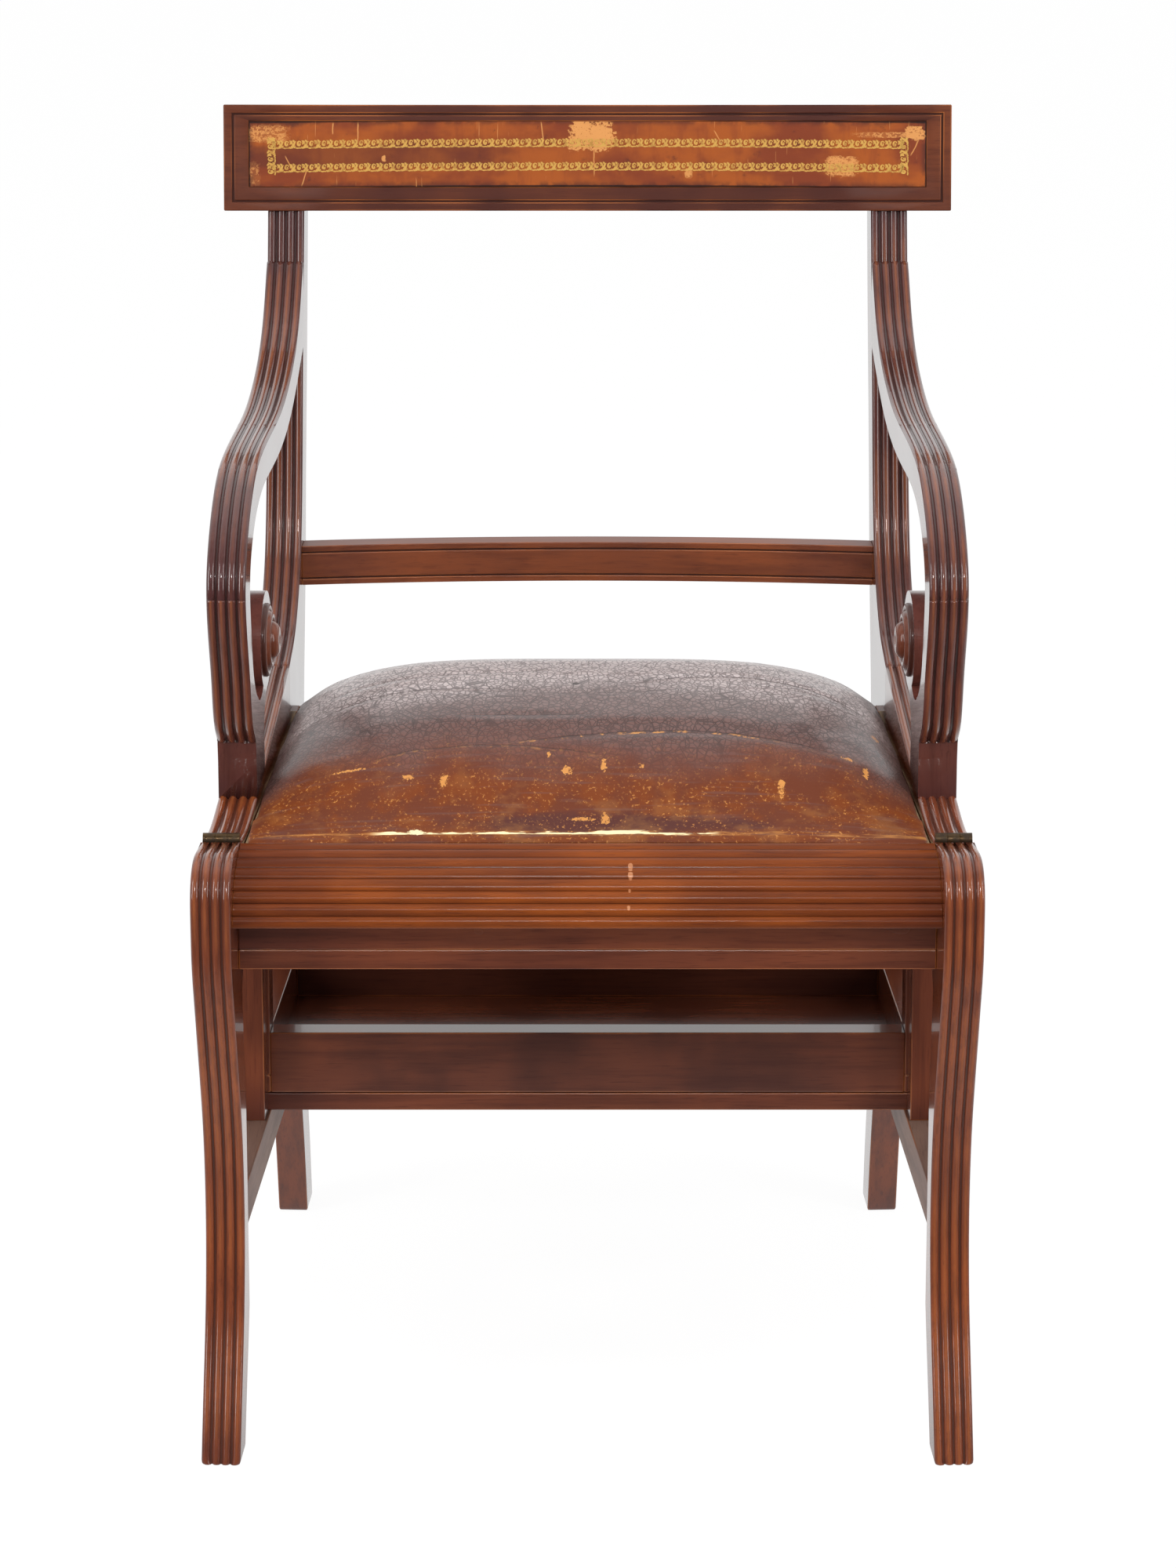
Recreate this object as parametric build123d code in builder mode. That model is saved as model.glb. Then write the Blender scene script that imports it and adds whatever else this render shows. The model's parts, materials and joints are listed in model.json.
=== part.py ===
from build123d import *
import math
import os

# Library step chair: an armchair whose back, arms and seat fold over the front
# knees on two brass hinges, which turns it into a set of four library steps.
# X runs across the chair, Y from front to back and Z up from the floor.
# The origin is on the floor, in the middle of the chair's width and depth.

# Overall sizes
overall_height = 889.0
overall_depth = 600.0
front_width = 552.0
crest_overhang = 4.0
toe_in = 3.03

# Side frames: leg, rail, post and arm stock, reeded on the front
frame_thickness = 28.0
rear_leg_thickness = 23.0
reed_count = 4
reed_groove_width = 1.4
reed_groove_depth = 2.2

# Fold line and the clearances between the folding top and the base
hinge_setback = 74.0
fold_gap = 0.3
tread_gap = 0.6
seat_clearance = 0.6

# Treads and what carries them
low_tread_share = 0.216
low_tread_thickness = 13.5
high_tread_thickness = 14.5
folding_tread_thickness = 13.5
mid_post_back = 257.0
mid_post_depth = 24.0
mid_post_thickness = 21.5
folding_post_inset = 3.5
tread_overhang_inset = 1.5
tread_rear_share = 0.8175
tread_notch_share = 0.734
stretcher_height = 32.0
stretcher_thickness = 22.0
tray_height = 47.5
tray_apron_thickness = 21.0
tray_rear_share = 0.711
rear_rail_thickness = 20.0

# Seat frame and front rail
rail_bottom_share = 0.4342
front_rail_setback = 10.0
front_rail_depth = 61.5
front_rail_height = 46.0
front_rail_reed_count = 8
front_rail_reed_height = 2.2
fascia_setback = 45.0
fascia_thickness = 15.0
seat_rail_thickness = 21.0
seat_rail_height = 34.0
rear_rail_height = 49.0
corner_block_size = 42.0
corner_block_height = 24.0
seat_frame_thickness = 16.0
seat_frame_width = 48.0
seat_back_share = 0.7186
webbing_thickness = 2.0
webbing_width = 52.0
webbing_cross_count = 5
webbing_long_count = 4
cushion_rise = 59.0
cushion_side_height = 5.0
cushion_draw_in = 3.0

# Back
post_rake = 10.0
crest_thickness = 25.0
crest_bow = 13.0
crest_height = 80.0
crest_bead_width = 6.6
crest_bead_groove = 1.3
crest_bead_depth = 1.2
crest_leather_margin_end = 19.5
crest_leather_margin_low = 18.5
crest_leather_width = 50.0
crest_leather_thickness = 2.0
crest_leather_sink = 1.2
cross_rail_foot_share = 0.589
cross_rail_height = 31.0
cross_rail_thickness = 20.0
cross_rail_bow = 14.0
cross_rail_share = 0.825
cross_rail_bead_width = 4.6
rail_post_joint_share = 0.62

# Arms
arm_joint_share = 0.6805
arm_block_share = 0.5478
volute_radius = 36.0
rosette_radius = 27.0
rosette_rim_thickness = 3.0
rosette_ring_radius = 21.0
rosette_ring_thickness = 5.5
rosette_boss_radius = 14.0
rosette_boss_height = 10.0

# Brass butt hinges, let into the end faces on the fold line
hinge_barrel_radius = 4.6
hinge_pin_radius = 2.2
hinge_pin_clearance = 0.05
hinge_barrel_relief = 0.7
hinge_leaf_thickness = 1.8
hinge_leaf_height = 36.0
hinge_side_margin = 1.0
hinge_knuckle_gap = 0.2
screw_count = 3
screw_length = 16.0
screw_radius = 1.6
screw_head_radius = 3.0
screw_head_depth = 1.4
screw_clearance = 0.05

# Lengths that only run past a cut
overrun = 6.0

hinge_height = overall_height / 2
front_y = -overall_depth / 2
rear_y = overall_depth / 2
hinge_y = front_y + hinge_setback
back_run = overall_depth - hinge_setback
toe_slope = math.tan(math.radians(toe_in))
reed_width = (frame_thickness - (reed_count - 1) * reed_groove_width) / reed_count
mid_post_rear_y = front_y + mid_post_back
mid_post_front_y = mid_post_rear_y - mid_post_depth
tread_notch_y = hinge_y + back_run * tread_notch_share
tread_rear_y = hinge_y + back_run * tread_rear_share
tray_rear_y = hinge_y + back_run * tray_rear_share
seat_front_y = hinge_y + fold_gap / 2 + seat_clearance
seat_back_y = hinge_y + back_run * seat_back_share
rail_bottom_height = overall_height * rail_bottom_share
low_tread_height = overall_height * low_tread_share
high_tread_height = rail_bottom_height - folding_tread_thickness - tread_gap
rail_top_height = rail_bottom_height + seat_rail_height
seat_frame_top = rail_top_height + seat_frame_thickness
joint_y = hinge_y + back_run * rail_post_joint_share
cross_rail_y = hinge_y + back_run * cross_rail_share
crest_foot_height = overall_height - crest_height


def outer_x(y):
    """Half width over the outside of the side frames, at depth y."""
    return front_width / 2 - toe_slope * (y - front_y)


def inner_x(y):
    """Half width between the side frames, at depth y."""
    return outer_x(y) - frame_thickness / math.cos(math.radians(toe_in))


def rear_inner_x(y):
    """Half width between the rear legs, which are thinner than the frames."""
    return outer_x(y) - rear_leg_thickness / math.cos(math.radians(toe_in))


def tray_inner_x(y):
    """Half width between the tray's side aprons, in line with the folding mid posts."""
    inset_x = folding_post_inset + mid_post_thickness
    return outer_x(y) - inset_x / math.cos(math.radians(toe_in))


def frame_plane(inset):
    """Plane of the right side frame, inset from its outer face."""
    normal = Vector(math.cos(math.radians(toe_in)), math.sin(math.radians(toe_in)), 0)
    origin = Vector(front_width / 2, front_y, 0) - normal * inset
    return Plane(origin=origin, x_dir=(-normal.Y, normal.X, 0), z_dir=normal)


def left_frame_plane(inset):
    """Plane of the left side frame, with its normal pointing outwards."""
    right = frame_plane(inset)
    normal = Vector(-right.z_dir.X, right.z_dir.Y, 0)
    origin = Vector(-right.origin.X, right.origin.Y, 0)
    return Plane(origin=origin, x_dir=(right.x_dir.X, -right.x_dir.Y, 0), z_dir=normal)


def base_points(shares):
    """Points in the side frame, as shares of the fold line's setback and height."""
    return [(hinge_setback * s, hinge_height * h) for s, h in shares]


def top_points(shares):
    """Points in the side frame behind the fold line, as shares of its run and the height."""
    return [(hinge_setback + back_run * s, overall_height * h) for s, h in shares]


def post_end(run_share, foot_share):
    """Upper end of a back post's curve, which follows the foot of the crest rail."""
    return (hinge_setback + back_run * run_share, crest_foot_height * foot_share)


def extended(points):
    """The same points with both ends run on in line by the overrun."""
    first = Vector(*points[0])
    last = Vector(*points[-1])
    head = first + (first - Vector(*points[1])).normalized() * overrun
    tail = last + (last - Vector(*points[-2])).normalized() * overrun
    inner = [Vector(*p) for p in points[1:-1]]
    return [head, first] + inner + [last, tail]


def inset(points, depth):
    """The points moved to their right by a depth, square to the curve."""
    moved = []
    for index, point in enumerate(points):
        before = points[max(index - 1, 0)]
        after = points[min(index + 1, len(points) - 1)]
        along = (after - before).normalized()
        moved.append(point + Vector(along.Y, -along.X) * depth)
    return moved


def outline(plane, *runs):
    """Sketch bounded by runs of points: three or more make a spline, and lines join the runs."""
    with BuildSketch(plane) as sheet:
        with BuildLine():
            for run, following in zip(runs, runs[1:] + runs[:1]):
                if len(run) > 2:
                    Spline(*run)
                elif len(run) == 2:
                    Line(*run)
                Line(run[-1], following[0])
        make_face()
    return sheet.sketch


def plan(z, *points):
    """Straight-sided sketch seen from above, at height z."""
    with BuildSketch(Plane.XY.offset(z)) as sheet:
        with BuildLine():
            Polyline(*points, close=True)
        make_face()
    return sheet.sketch


def reeds(front):
    """Reeds along the front curve of side frame stock."""
    band = inset(front, 2 * reed_groove_depth)[::-1]
    for index in range(reed_count):
        plane = frame_plane(index * (reed_width + reed_groove_width))
        extrude(outline(plane, front, band), amount=-reed_width)


def frame_stock(front, *runs):
    """Side frame stock over the full thickness, with reeds along its front curve."""
    core = inset(front, reed_groove_depth)
    extrude(outline(frame_plane(0), core, *runs), amount=-frame_thickness)
    reeds(front)


def keep_above(height):
    split(bisect_by=Plane.XY.offset(height), keep=Keep.TOP)


def keep_below(height):
    split(bisect_by=Plane.XY.offset(height), keep=Keep.BOTTOM)


def cross_plane(y):
    """Upright plane across the chair at depth y, facing the back."""
    return Plane(origin=(0, y, 0), x_dir=(-1, 0, 0), z_dir=(0, 1, 0))


def keep_behind(y):
    split(bisect_by=cross_plane(y), keep=Keep.TOP)


def keep_before(y):
    split(bisect_by=cross_plane(y), keep=Keep.BOTTOM)


def trim_between_frames():
    """Cut a cross member to the inner faces of both side frames."""
    split(bisect_by=frame_plane(frame_thickness), keep=Keep.BOTTOM)
    split(bisect_by=left_frame_plane(frame_thickness), keep=Keep.BOTTOM)


def cross_board(y_front, y_back, z_low, z_high, half_width=inner_x):
    """Straight board across the chair, up to a half width that depends on y."""
    board = plan(
        z_low,
        (-half_width(y_front), y_front),
        (half_width(y_front), y_front),
        (half_width(y_back), y_back),
        (-half_width(y_back), y_back),
    )
    extrude(board, amount=z_high - z_low)


def side_strip(y_front, y_back, outer_inset, thickness, z_low, z_high):
    """Upright or rail that follows the right side frame."""
    outer = outer_inset / math.cos(math.radians(toe_in))
    inner = (outer_inset + thickness) / math.cos(math.radians(toe_in))
    strip = plan(
        z_low,
        (outer_x(y_front) - outer, y_front),
        (outer_x(y_back) - outer, y_back),
        (outer_x(y_back) - inner, y_back),
        (outer_x(y_front) - inner, y_front),
    )
    extrude(strip, amount=z_high - z_low)


def bowed_sketch(plane, half_length, front, thickness, bow):
    """Plan of a bowed rail whose middle lies further back than its ends."""
    with BuildSketch(plane) as sheet:
        with BuildLine():
            ThreePointArc((-half_length, front), (0, front + bow), (half_length, front))
            Line((half_length, front), (half_length, front + thickness))
            ThreePointArc(
                (half_length, front + thickness),
                (0, front + thickness + bow),
                (-half_length, front + thickness),
            )
            Line((-half_length, front + thickness), (-half_length, front))
        make_face()
    return sheet.sketch


def write_piece(builder, name):
    """Label a finished piece and write it to its own file."""
    builder.part.label = name
    export_step(builder.part, f"parts/{name}.step")


def write_pair(builder, name):
    """Write a right-hand piece and its mirror image on the left."""
    write_piece(builder, f"{name}_right")
    with BuildPart() as twin:
        mirror(builder.part, about=Plane.YZ)
    write_piece(twin, f"{name}_left")


os.makedirs("parts", exist_ok=True)

# Outlines of the side frames, as shares, from the floor or the fold line up and back
leg_front_shares = [
    (0.010, 0.0),
    (0.190, 0.079),
    (0.482, 0.196),
    (0.676, 0.315),
    (0.709, 0.450),
    (0.628, 0.540),
    (0.405, 0.655),
    (0.155, 0.772),
    (0.027, 0.844),
    (0.004, 0.904),
    (0.027, 0.958),
    (0.162, 0.991),
    (0.351, 1.004),
    (0.608, 1.004),
    (1.0, 0.998),
]
leg_back_shares = [
    (0.865, 0.747),
    (0.946, 0.655),
    (1.149, 0.540),
    (1.223, 0.450),
    (1.182, 0.315),
    (0.976, 0.196),
    (0.652, 0.079),
    (0.446, 0.0),
]
rear_leg_front_shares = [
    (0.854, 0.0),
    (0.825, 0.065),
    (0.799, 0.112),
    (0.770, 0.169),
    (0.749, 0.216),
    (0.726, 0.281),
    (0.715, 0.337),
    (0.707, 0.434),
]
rear_leg_back_shares = [
    (0.810, 0.434),
    (0.806, 0.337),
    (0.816, 0.281),
    (0.835, 0.216),
    (0.854, 0.169),
    (0.878, 0.112),
    (0.901, 0.065),
    (0.924, 0.0),
]
rail_top_shares = [
    (0.0, 0.4990),
    (0.034, 0.4964),
    (0.072, 0.4950),
    (0.125, 0.4965),
    (0.190, 0.5020),
    (0.300, 0.5130),
    (0.412, 0.5242),
    (0.5, 0.5330),
    (0.595, 0.5430),
]
rail_under_shares = [
    (0.620, 0.4790),
    (0.570, 0.4640),
    (0.520, 0.4530),
    (0.460, 0.4420),
    (0.410, 0.4365),
    (0.348, 0.4342),
]
post_front_shares = [
    (0.620, 0.5460),
    (0.696, 0.5600),
    (0.757, 0.5850),
    (0.800, 0.6164),
    (0.829, 0.6592),
    (0.866, 0.7649),
]
post_back_shares = [
    (0.930, 0.7760),
    (0.893, 0.6750),
    (0.868, 0.5960),
    (0.838, 0.5290),
    (0.816, 0.4720),
    (0.810, 0.4342),
]
arm_outer_shares = [
    (0.192, 0.5478),
    (0.160, 0.5650),
    (0.144, 0.5850),
    (0.134, 0.6080),
    (0.119, 0.6320),
    (0.1045, 0.6560),
    (0.0975, 0.6780),
    (0.103, 0.6990),
    (0.124, 0.7190),
    (0.160, 0.7390),
    (0.206, 0.7560),
    (0.258, 0.7670),
    (0.320, 0.7720),
    (0.456, 0.7740),
    (0.598, 0.7770),
    (0.706, 0.7890),
    (0.772, 0.8030),
    (0.835, 0.8280),
    (0.885, 0.8620),
]
arm_inner_shares = [
    (0.885, 0.7960),
    (0.772, 0.7690),
    (0.700, 0.7560),
    (0.598, 0.7460),
    (0.456, 0.7430),
    (0.320, 0.7415),
    (0.250, 0.7330),
    (0.200, 0.7190),
    (0.167, 0.7010),
    (0.153, 0.6800),
    (0.156, 0.6590),
    (0.165, 0.6350),
    (0.176, 0.6120),
    (0.198, 0.5930),
    (0.230, 0.5800),
]
web_shares = [
    [(0.1925, 0.5478), (0.196, 0.5330)],
    [(0.196, 0.4900), (0.298, 0.4900)],
    [(0.293, 0.5350), (0.300, 0.5550), (0.335, 0.5720)],
    [(0.335, 0.5900), (0.290, 0.5790), (0.256, 0.5750), (0.226, 0.5815)],
]
volute_centre_shares = (0.335, 0.6130)

# Upper ends of the back posts, as shares of the run and of the crest's foot height
post_front_end_shares = (0.917, 0.99757)
post_back_end_shares = (0.975, 1.001087)

leg_front = extended(base_points(leg_front_shares))
leg_back = extended(base_points(leg_back_shares))
rear_leg_front = extended(top_points(rear_leg_front_shares))
rear_leg_back = extended(top_points(rear_leg_back_shares))
rail_top = extended(top_points(rail_top_shares))
rail_under = top_points(rail_under_shares)
post_front = extended(top_points(post_front_shares) + [post_end(*post_front_end_shares)])
post_back = [post_end(*post_back_end_shares)] + top_points(post_back_shares)
arm_outer = extended(top_points(arm_outer_shares))
arm_inner = top_points(arm_inner_shares)
web_runs = [top_points(run) for run in web_shares]

crest_length = front_width + 2 * crest_overhang
crest_leather_length = crest_length - 2 * crest_leather_margin_end
crest_rake = math.radians(post_rake)
crest_rise = (overall_height - crest_foot_height) / math.cos(crest_rake)
crest_reach = (crest_bow + crest_thickness) * math.cos(crest_rake)
crest_y = rear_y - crest_reach - crest_rise * math.sin(crest_rake)
crest_plane = Plane(
    origin=(0, crest_y, crest_foot_height),
    x_dir=(1, 0, 0),
    z_dir=(0, math.sin(crest_rake), math.cos(crest_rake)),
)

# Hinge sizes, the same on both sides
base_face_y = hinge_y - fold_gap / 2
top_face_y = hinge_y + fold_gap / 2
hinge_x = (outer_x(hinge_y) + inner_x(hinge_y)) / 2
hinge_length = frame_thickness - 2 * hinge_side_margin
hinge_low_x = hinge_x - hinge_length / 2
hinge_high_x = hinge_x + hinge_length / 2
knuckle_length = (hinge_length - 2 * hinge_knuckle_gap) / 3
knuckle_pitch = knuckle_length + hinge_knuckle_gap
leaf_foot = hinge_height - hinge_barrel_radius - hinge_leaf_height
screw_step = hinge_leaf_height / screw_count
screw_places = [
    (hinge_x + (index % 2 - 1 / 2) * hinge_length / 2, leaf_foot + screw_step * (index + 1 / 2))
    for index in range(screw_count)
]


def across(x):
    """Plane square to the hinge pin, at x along it, centred on the pin."""
    return Plane(origin=(x, hinge_y, hinge_height), x_dir=(0, 1, 0), z_dir=(1, 0, 0))


def round_bar(x, length, radius, mode=Mode.ADD):
    """Cylinder on the hinge pin's axis."""
    with BuildSketch(across(x)) as disc:
        Circle(radius)
    extrude(disc.sketch, amount=length, mode=mode)


def leaf_plate(face_y, side, mode):
    """Plate of a hinge leaf, from its face on the fold line into the wood."""
    back_y = face_y + side * hinge_leaf_thickness
    plate = plan(
        leaf_foot,
        (hinge_low_x, face_y),
        (hinge_high_x, face_y),
        (hinge_high_x, back_y),
        (hinge_low_x, back_y),
    )
    extrude(plate, amount=hinge_height - leaf_foot, mode=mode)


def screw_set(face_y, side, clearance, mode):
    """Flat-headed screws in a leaf and the wood behind it, or the holes for them."""
    plane = Plane(origin=(0, face_y, 0), x_dir=(1, 0, 0), z_dir=(0, -1, 0))
    sizes = ((screw_radius, screw_length), (screw_head_radius, screw_head_depth))
    for radius, depth in sizes:
        with BuildSketch(plane) as ends:
            with Locations(*screw_places):
                Circle(radius + clearance)
        extrude(ends.sketch, amount=-side * (depth + clearance), mode=mode)


def hinge_seat(face_y, side):
    """Cut the wood for the barrel, the leaf and its screws."""
    radius = hinge_barrel_radius + hinge_barrel_relief
    round_bar(hinge_low_x - overrun, hinge_length + 2 * overrun, radius, Mode.SUBTRACT)
    leaf_plate(face_y, side, Mode.SUBTRACT)
    screw_set(face_y, side, screw_clearance, Mode.SUBTRACT)


# Front legs with their knees, which end at the fold line
with BuildPart() as front_leg:
    tread_foot = high_tread_height - high_tread_thickness
    frame_stock(leg_front, [(hinge_setback + overrun, tread_foot)], leg_back)
    keep_above(0)
    keep_before(base_face_y)
    hinge_seat(base_face_y, -1)
write_pair(front_leg, "front_leg")

# Rear legs, plain and cut through at the lowest tread: the stub stays with the base
with BuildPart() as rear_leg_blank:
    extrude(outline(frame_plane(0), rear_leg_front, rear_leg_back), amount=-rear_leg_thickness)

with BuildPart() as rear_leg_lower:
    add(rear_leg_blank.part)
    keep_above(0)
    keep_below(low_tread_height - fold_gap)
write_pair(rear_leg_lower, "rear_leg_lower")

with BuildPart() as rear_leg_upper:
    add(rear_leg_blank.part)
    keep_above(low_tread_height + fold_gap)
    keep_below(rail_bottom_height)
write_pair(rear_leg_upper, "rear_leg_upper")

# Reeded front rail between the knees
rail_centre_y = front_y + front_rail_setback + front_rail_depth
rail_foot_height = hinge_height - front_rail_height - hinge_barrel_relief
with BuildPart() as front_rail:
    corners = []
    crowns = []
    for index in range(2 * front_rail_reed_count + 1):
        angle = math.pi / 2 * index / (2 * front_rail_reed_count)
        groove = front_rail_reed_height * (1 - index % 2)
        place = (
            rail_centre_y - (front_rail_depth - groove) * math.cos(angle),
            rail_foot_height + (front_rail_height - groove) * math.sin(angle),
        )
        if index % 2:
            crowns.append(place)
        else:
            corners.append(place)
    with BuildSketch(Plane.YZ.offset(-front_width / 2)):
        with BuildLine():
            for index in range(front_rail_reed_count):
                ThreePointArc(corners[index], crowns[index], corners[index + 1])
            Polyline(corners[-1], (rail_centre_y, rail_foot_height), corners[0])
        make_face()
    extrude(amount=front_width)
    trim_between_frames()
write_piece(front_rail, "front_rail")

# Fascia under the front rail
fascia_y = front_y + fascia_setback
with BuildPart() as front_fascia:
    cross_board(fascia_y, fascia_y + fascia_thickness, high_tread_height, rail_foot_height)
write_piece(front_fascia, "front_fascia")


def wide_x(y):
    """Half width of a tread that runs out over the side frames."""
    return outer_x(y) - tread_overhang_inset


def both_sides(points):
    """A right-hand outline followed back by its mirror image on the left."""
    return points + [(-x, y) for x, y in reversed(points)]


# Second tread, notched round the front legs
second_tread_plan = [
    (inner_x(fascia_y), fascia_y),
    (inner_x(base_face_y), base_face_y),
    (wide_x(base_face_y), base_face_y),
    (wide_x(mid_post_rear_y), mid_post_rear_y),
]
with BuildPart() as tread_second:
    extrude(plan(tread_foot, *both_sides(second_tread_plan)), amount=high_tread_thickness)
write_piece(tread_second, "tread_second")

# First tread, from the mid posts back between the rear legs
rear_tread_plan = [
    (wide_x(mid_post_rear_y), mid_post_rear_y),
    (wide_x(tread_notch_y), tread_notch_y),
    (rear_inner_x(tread_notch_y), tread_notch_y),
    (rear_inner_x(tread_rear_y), tread_rear_y),
]
low_tread_foot = low_tread_height - low_tread_thickness
with BuildPart() as tread_first:
    extrude(plan(low_tread_foot, *both_sides(rear_tread_plan)), amount=low_tread_thickness)
write_piece(tread_first, "tread_first")

# Side stretchers from the front legs to the rear stubs
stretcher_inset = (frame_thickness - stretcher_thickness) / 2
stretcher_foot = low_tread_foot - stretcher_height
rear_leg_y = (tread_notch_y + tread_rear_y) / 2
with BuildPart() as side_stretcher:
    side_strip(
        hinge_y, tread_rear_y, stretcher_inset, stretcher_thickness,
        stretcher_foot, low_tread_foot,
    )
    add(front_leg.part, mode=Mode.SUBTRACT)
    add(rear_leg_blank.part, mode=Mode.SUBTRACT)
    keep_before(rear_leg_y)
write_pair(side_stretcher, "side_stretcher")

# Mid posts of the base, under the second tread
with BuildPart() as mid_post:
    side_strip(
        mid_post_front_y, mid_post_rear_y, tread_overhang_inset, mid_post_thickness,
        low_tread_foot, tread_foot,
    )
write_pair(mid_post, "mid_post")

# Rail across the rear stubs, under the first tread
with BuildPart() as lower_rear_rail:
    lower_rail_y = tread_rear_y - rear_rail_thickness
    cross_board(lower_rail_y, tread_rear_y, stretcher_foot, low_tread_foot, rear_inner_x)
write_piece(lower_rear_rail, "lower_rear_rail")

# Side rails of the folding top
with BuildPart() as side_rail:
    frame_stock(rail_top, rail_under, [(hinge_setback - overrun, rail_bottom_height)])
    keep_behind(top_face_y)
    keep_before(joint_y)
    hinge_seat(top_face_y, 1)
write_pair(side_rail, "side_rail")

# Back posts, which sweep up out of the side rails
with BuildPart() as back_post:
    frame_stock(post_front, post_back, [rear_leg_front[-2]], [rail_under[1]], [rail_under[0]])
    keep_behind(joint_y)
    keep_above(rail_bottom_height)
    split(bisect_by=crest_plane, keep=Keep.BOTTOM)
write_pair(back_post, "back_post")

with BuildPart() as back_post_blank:
    post_runs = (post_front, post_back, [rear_leg_front[-2]], [rail_under[1]], [rail_under[0]])
    extrude(outline(frame_plane(0), *post_runs), amount=-frame_thickness)

with BuildPart() as side_rail_blank:
    rail_runs = (rail_top, rail_under, [(hinge_setback - overrun, rail_bottom_height)])
    extrude(outline(frame_plane(0), *rail_runs), amount=-frame_thickness)

# Arms, which come forward from the posts and curl down at the front
with BuildPart() as arm:
    frame_stock(arm_outer, arm_inner)
    keep_above(overall_height * arm_joint_share)
    add(back_post_blank.part, mode=Mode.SUBTRACT)
write_pair(arm, "arm")

# Scroll supports: the lower end of the arm's curl, a plain block and the volute
volute_centre = top_points([volute_centre_shares])[0]
with BuildPart() as arm_support:
    frame_stock(arm_outer, arm_inner)
    keep_above(overall_height * arm_block_share)
    keep_below(overall_height * arm_joint_share)
    extrude(outline(frame_plane(0), *web_runs), amount=-frame_thickness)
    with BuildSketch(frame_plane(0)):
        with Locations(volute_centre):
            Circle(volute_radius)
    extrude(amount=-frame_thickness)
    add(side_rail_blank.part, mode=Mode.SUBTRACT)
write_pair(arm_support, "arm_support")

# Turned rosettes on both faces of the volute
with BuildPart() as arm_rosettes:
    for plane in (frame_plane(0), frame_plane(frame_thickness)):
        side = 1 if plane.origin.X > inner_x(front_y) + overrun else -1
        steps = (
            (rosette_radius, rosette_rim_thickness),
            (rosette_ring_radius, rosette_ring_thickness),
            (rosette_boss_radius, rosette_boss_height),
        )
        for radius, height in steps:
            with BuildSketch(plane) as disc:
                with Locations(volute_centre):
                    Circle(radius)
            extrude(disc.sketch, amount=side * height)
write_pair(arm_rosettes, "arm_rosettes")

# Front and rear rails of the seat, and the blocks in its corners
with BuildPart() as seat_front_rail:
    cross_board(top_face_y, top_face_y + seat_rail_thickness, rail_bottom_height, rail_top_height)
write_piece(seat_front_rail, "seat_front_rail")

with BuildPart() as seat_rear_rail:
    rear_rail_top = rail_bottom_height + rear_rail_height
    rear_rail_y = seat_back_y + seat_clearance
    cross_board(rear_rail_y, rear_rail_y + seat_rail_thickness, rail_bottom_height, rear_rail_top)
write_piece(seat_rear_rail, "seat_rear_rail")

with BuildPart() as corner_blocks:
    front_corner_y = top_face_y + seat_rail_thickness
    block_foot = rail_top_height - corner_block_height
    for start_y, end_y in (
        (front_corner_y, front_corner_y + corner_block_size),
        (rear_rail_y, rear_rail_y - corner_block_size),
    ):
        block = plan(
            block_foot,
            (inner_x(start_y), start_y),
            (inner_x(end_y), end_y),
            (inner_x(start_y) - corner_block_size, start_y),
        )
        extrude(block, amount=corner_block_height)
    mirror(corner_blocks.part, about=Plane.YZ)
write_piece(corner_blocks, "corner_blocks")

# Drop-in seat: frame, webbing and leather cushion


def seat_x(y):
    """Half width of the drop-in seat, clear of the side frames."""
    return inner_x(y) - seat_clearance


with BuildPart() as seat_frame:
    seat_plan = [(seat_x(seat_front_y), seat_front_y), (seat_x(seat_back_y), seat_back_y)]
    hole_front_y = seat_front_y + seat_frame_width
    hole_back_y = seat_back_y - seat_frame_width
    hole_plan = [
        (seat_x(hole_front_y) - seat_frame_width, hole_front_y),
        (seat_x(hole_back_y) - seat_frame_width, hole_back_y),
    ]
    extrude(plan(rail_top_height, *both_sides(seat_plan)), amount=seat_frame_thickness)
    hole = plan(rail_top_height, *both_sides(hole_plan))
    extrude(hole, amount=seat_frame_thickness, mode=Mode.SUBTRACT)
write_piece(seat_frame, "seat_frame")

with BuildPart() as seat_webbing:
    web_foot = seat_frame_top
    web_run = hole_back_y - hole_front_y
    web_half = seat_x(seat_back_y) - seat_frame_width / 2
    for index in range(webbing_cross_count):
        y = hole_front_y + web_run * (index + 1 / 2) / webbing_cross_count
        half = seat_x(y) - seat_frame_width / 2
        strap = plan(
            web_foot,
            (-half, y - webbing_width / 2),
            (half, y - webbing_width / 2),
            (half, y + webbing_width / 2),
            (-half, y + webbing_width / 2),
        )
        extrude(strap, amount=webbing_thickness)
    for index in range(webbing_long_count):
        x = web_half * (2 * index + 1 - webbing_long_count) / webbing_long_count
        strap = plan(
            web_foot,
            (x - webbing_width / 2, hole_front_y - seat_frame_width / 2),
            (x + webbing_width / 2, hole_front_y - seat_frame_width / 2),
            (x + webbing_width / 2, hole_back_y + seat_frame_width / 2),
            (x - webbing_width / 2, hole_back_y + seat_frame_width / 2),
        )
        extrude(strap, amount=webbing_thickness)
write_piece(seat_webbing, "seat_webbing")

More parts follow.
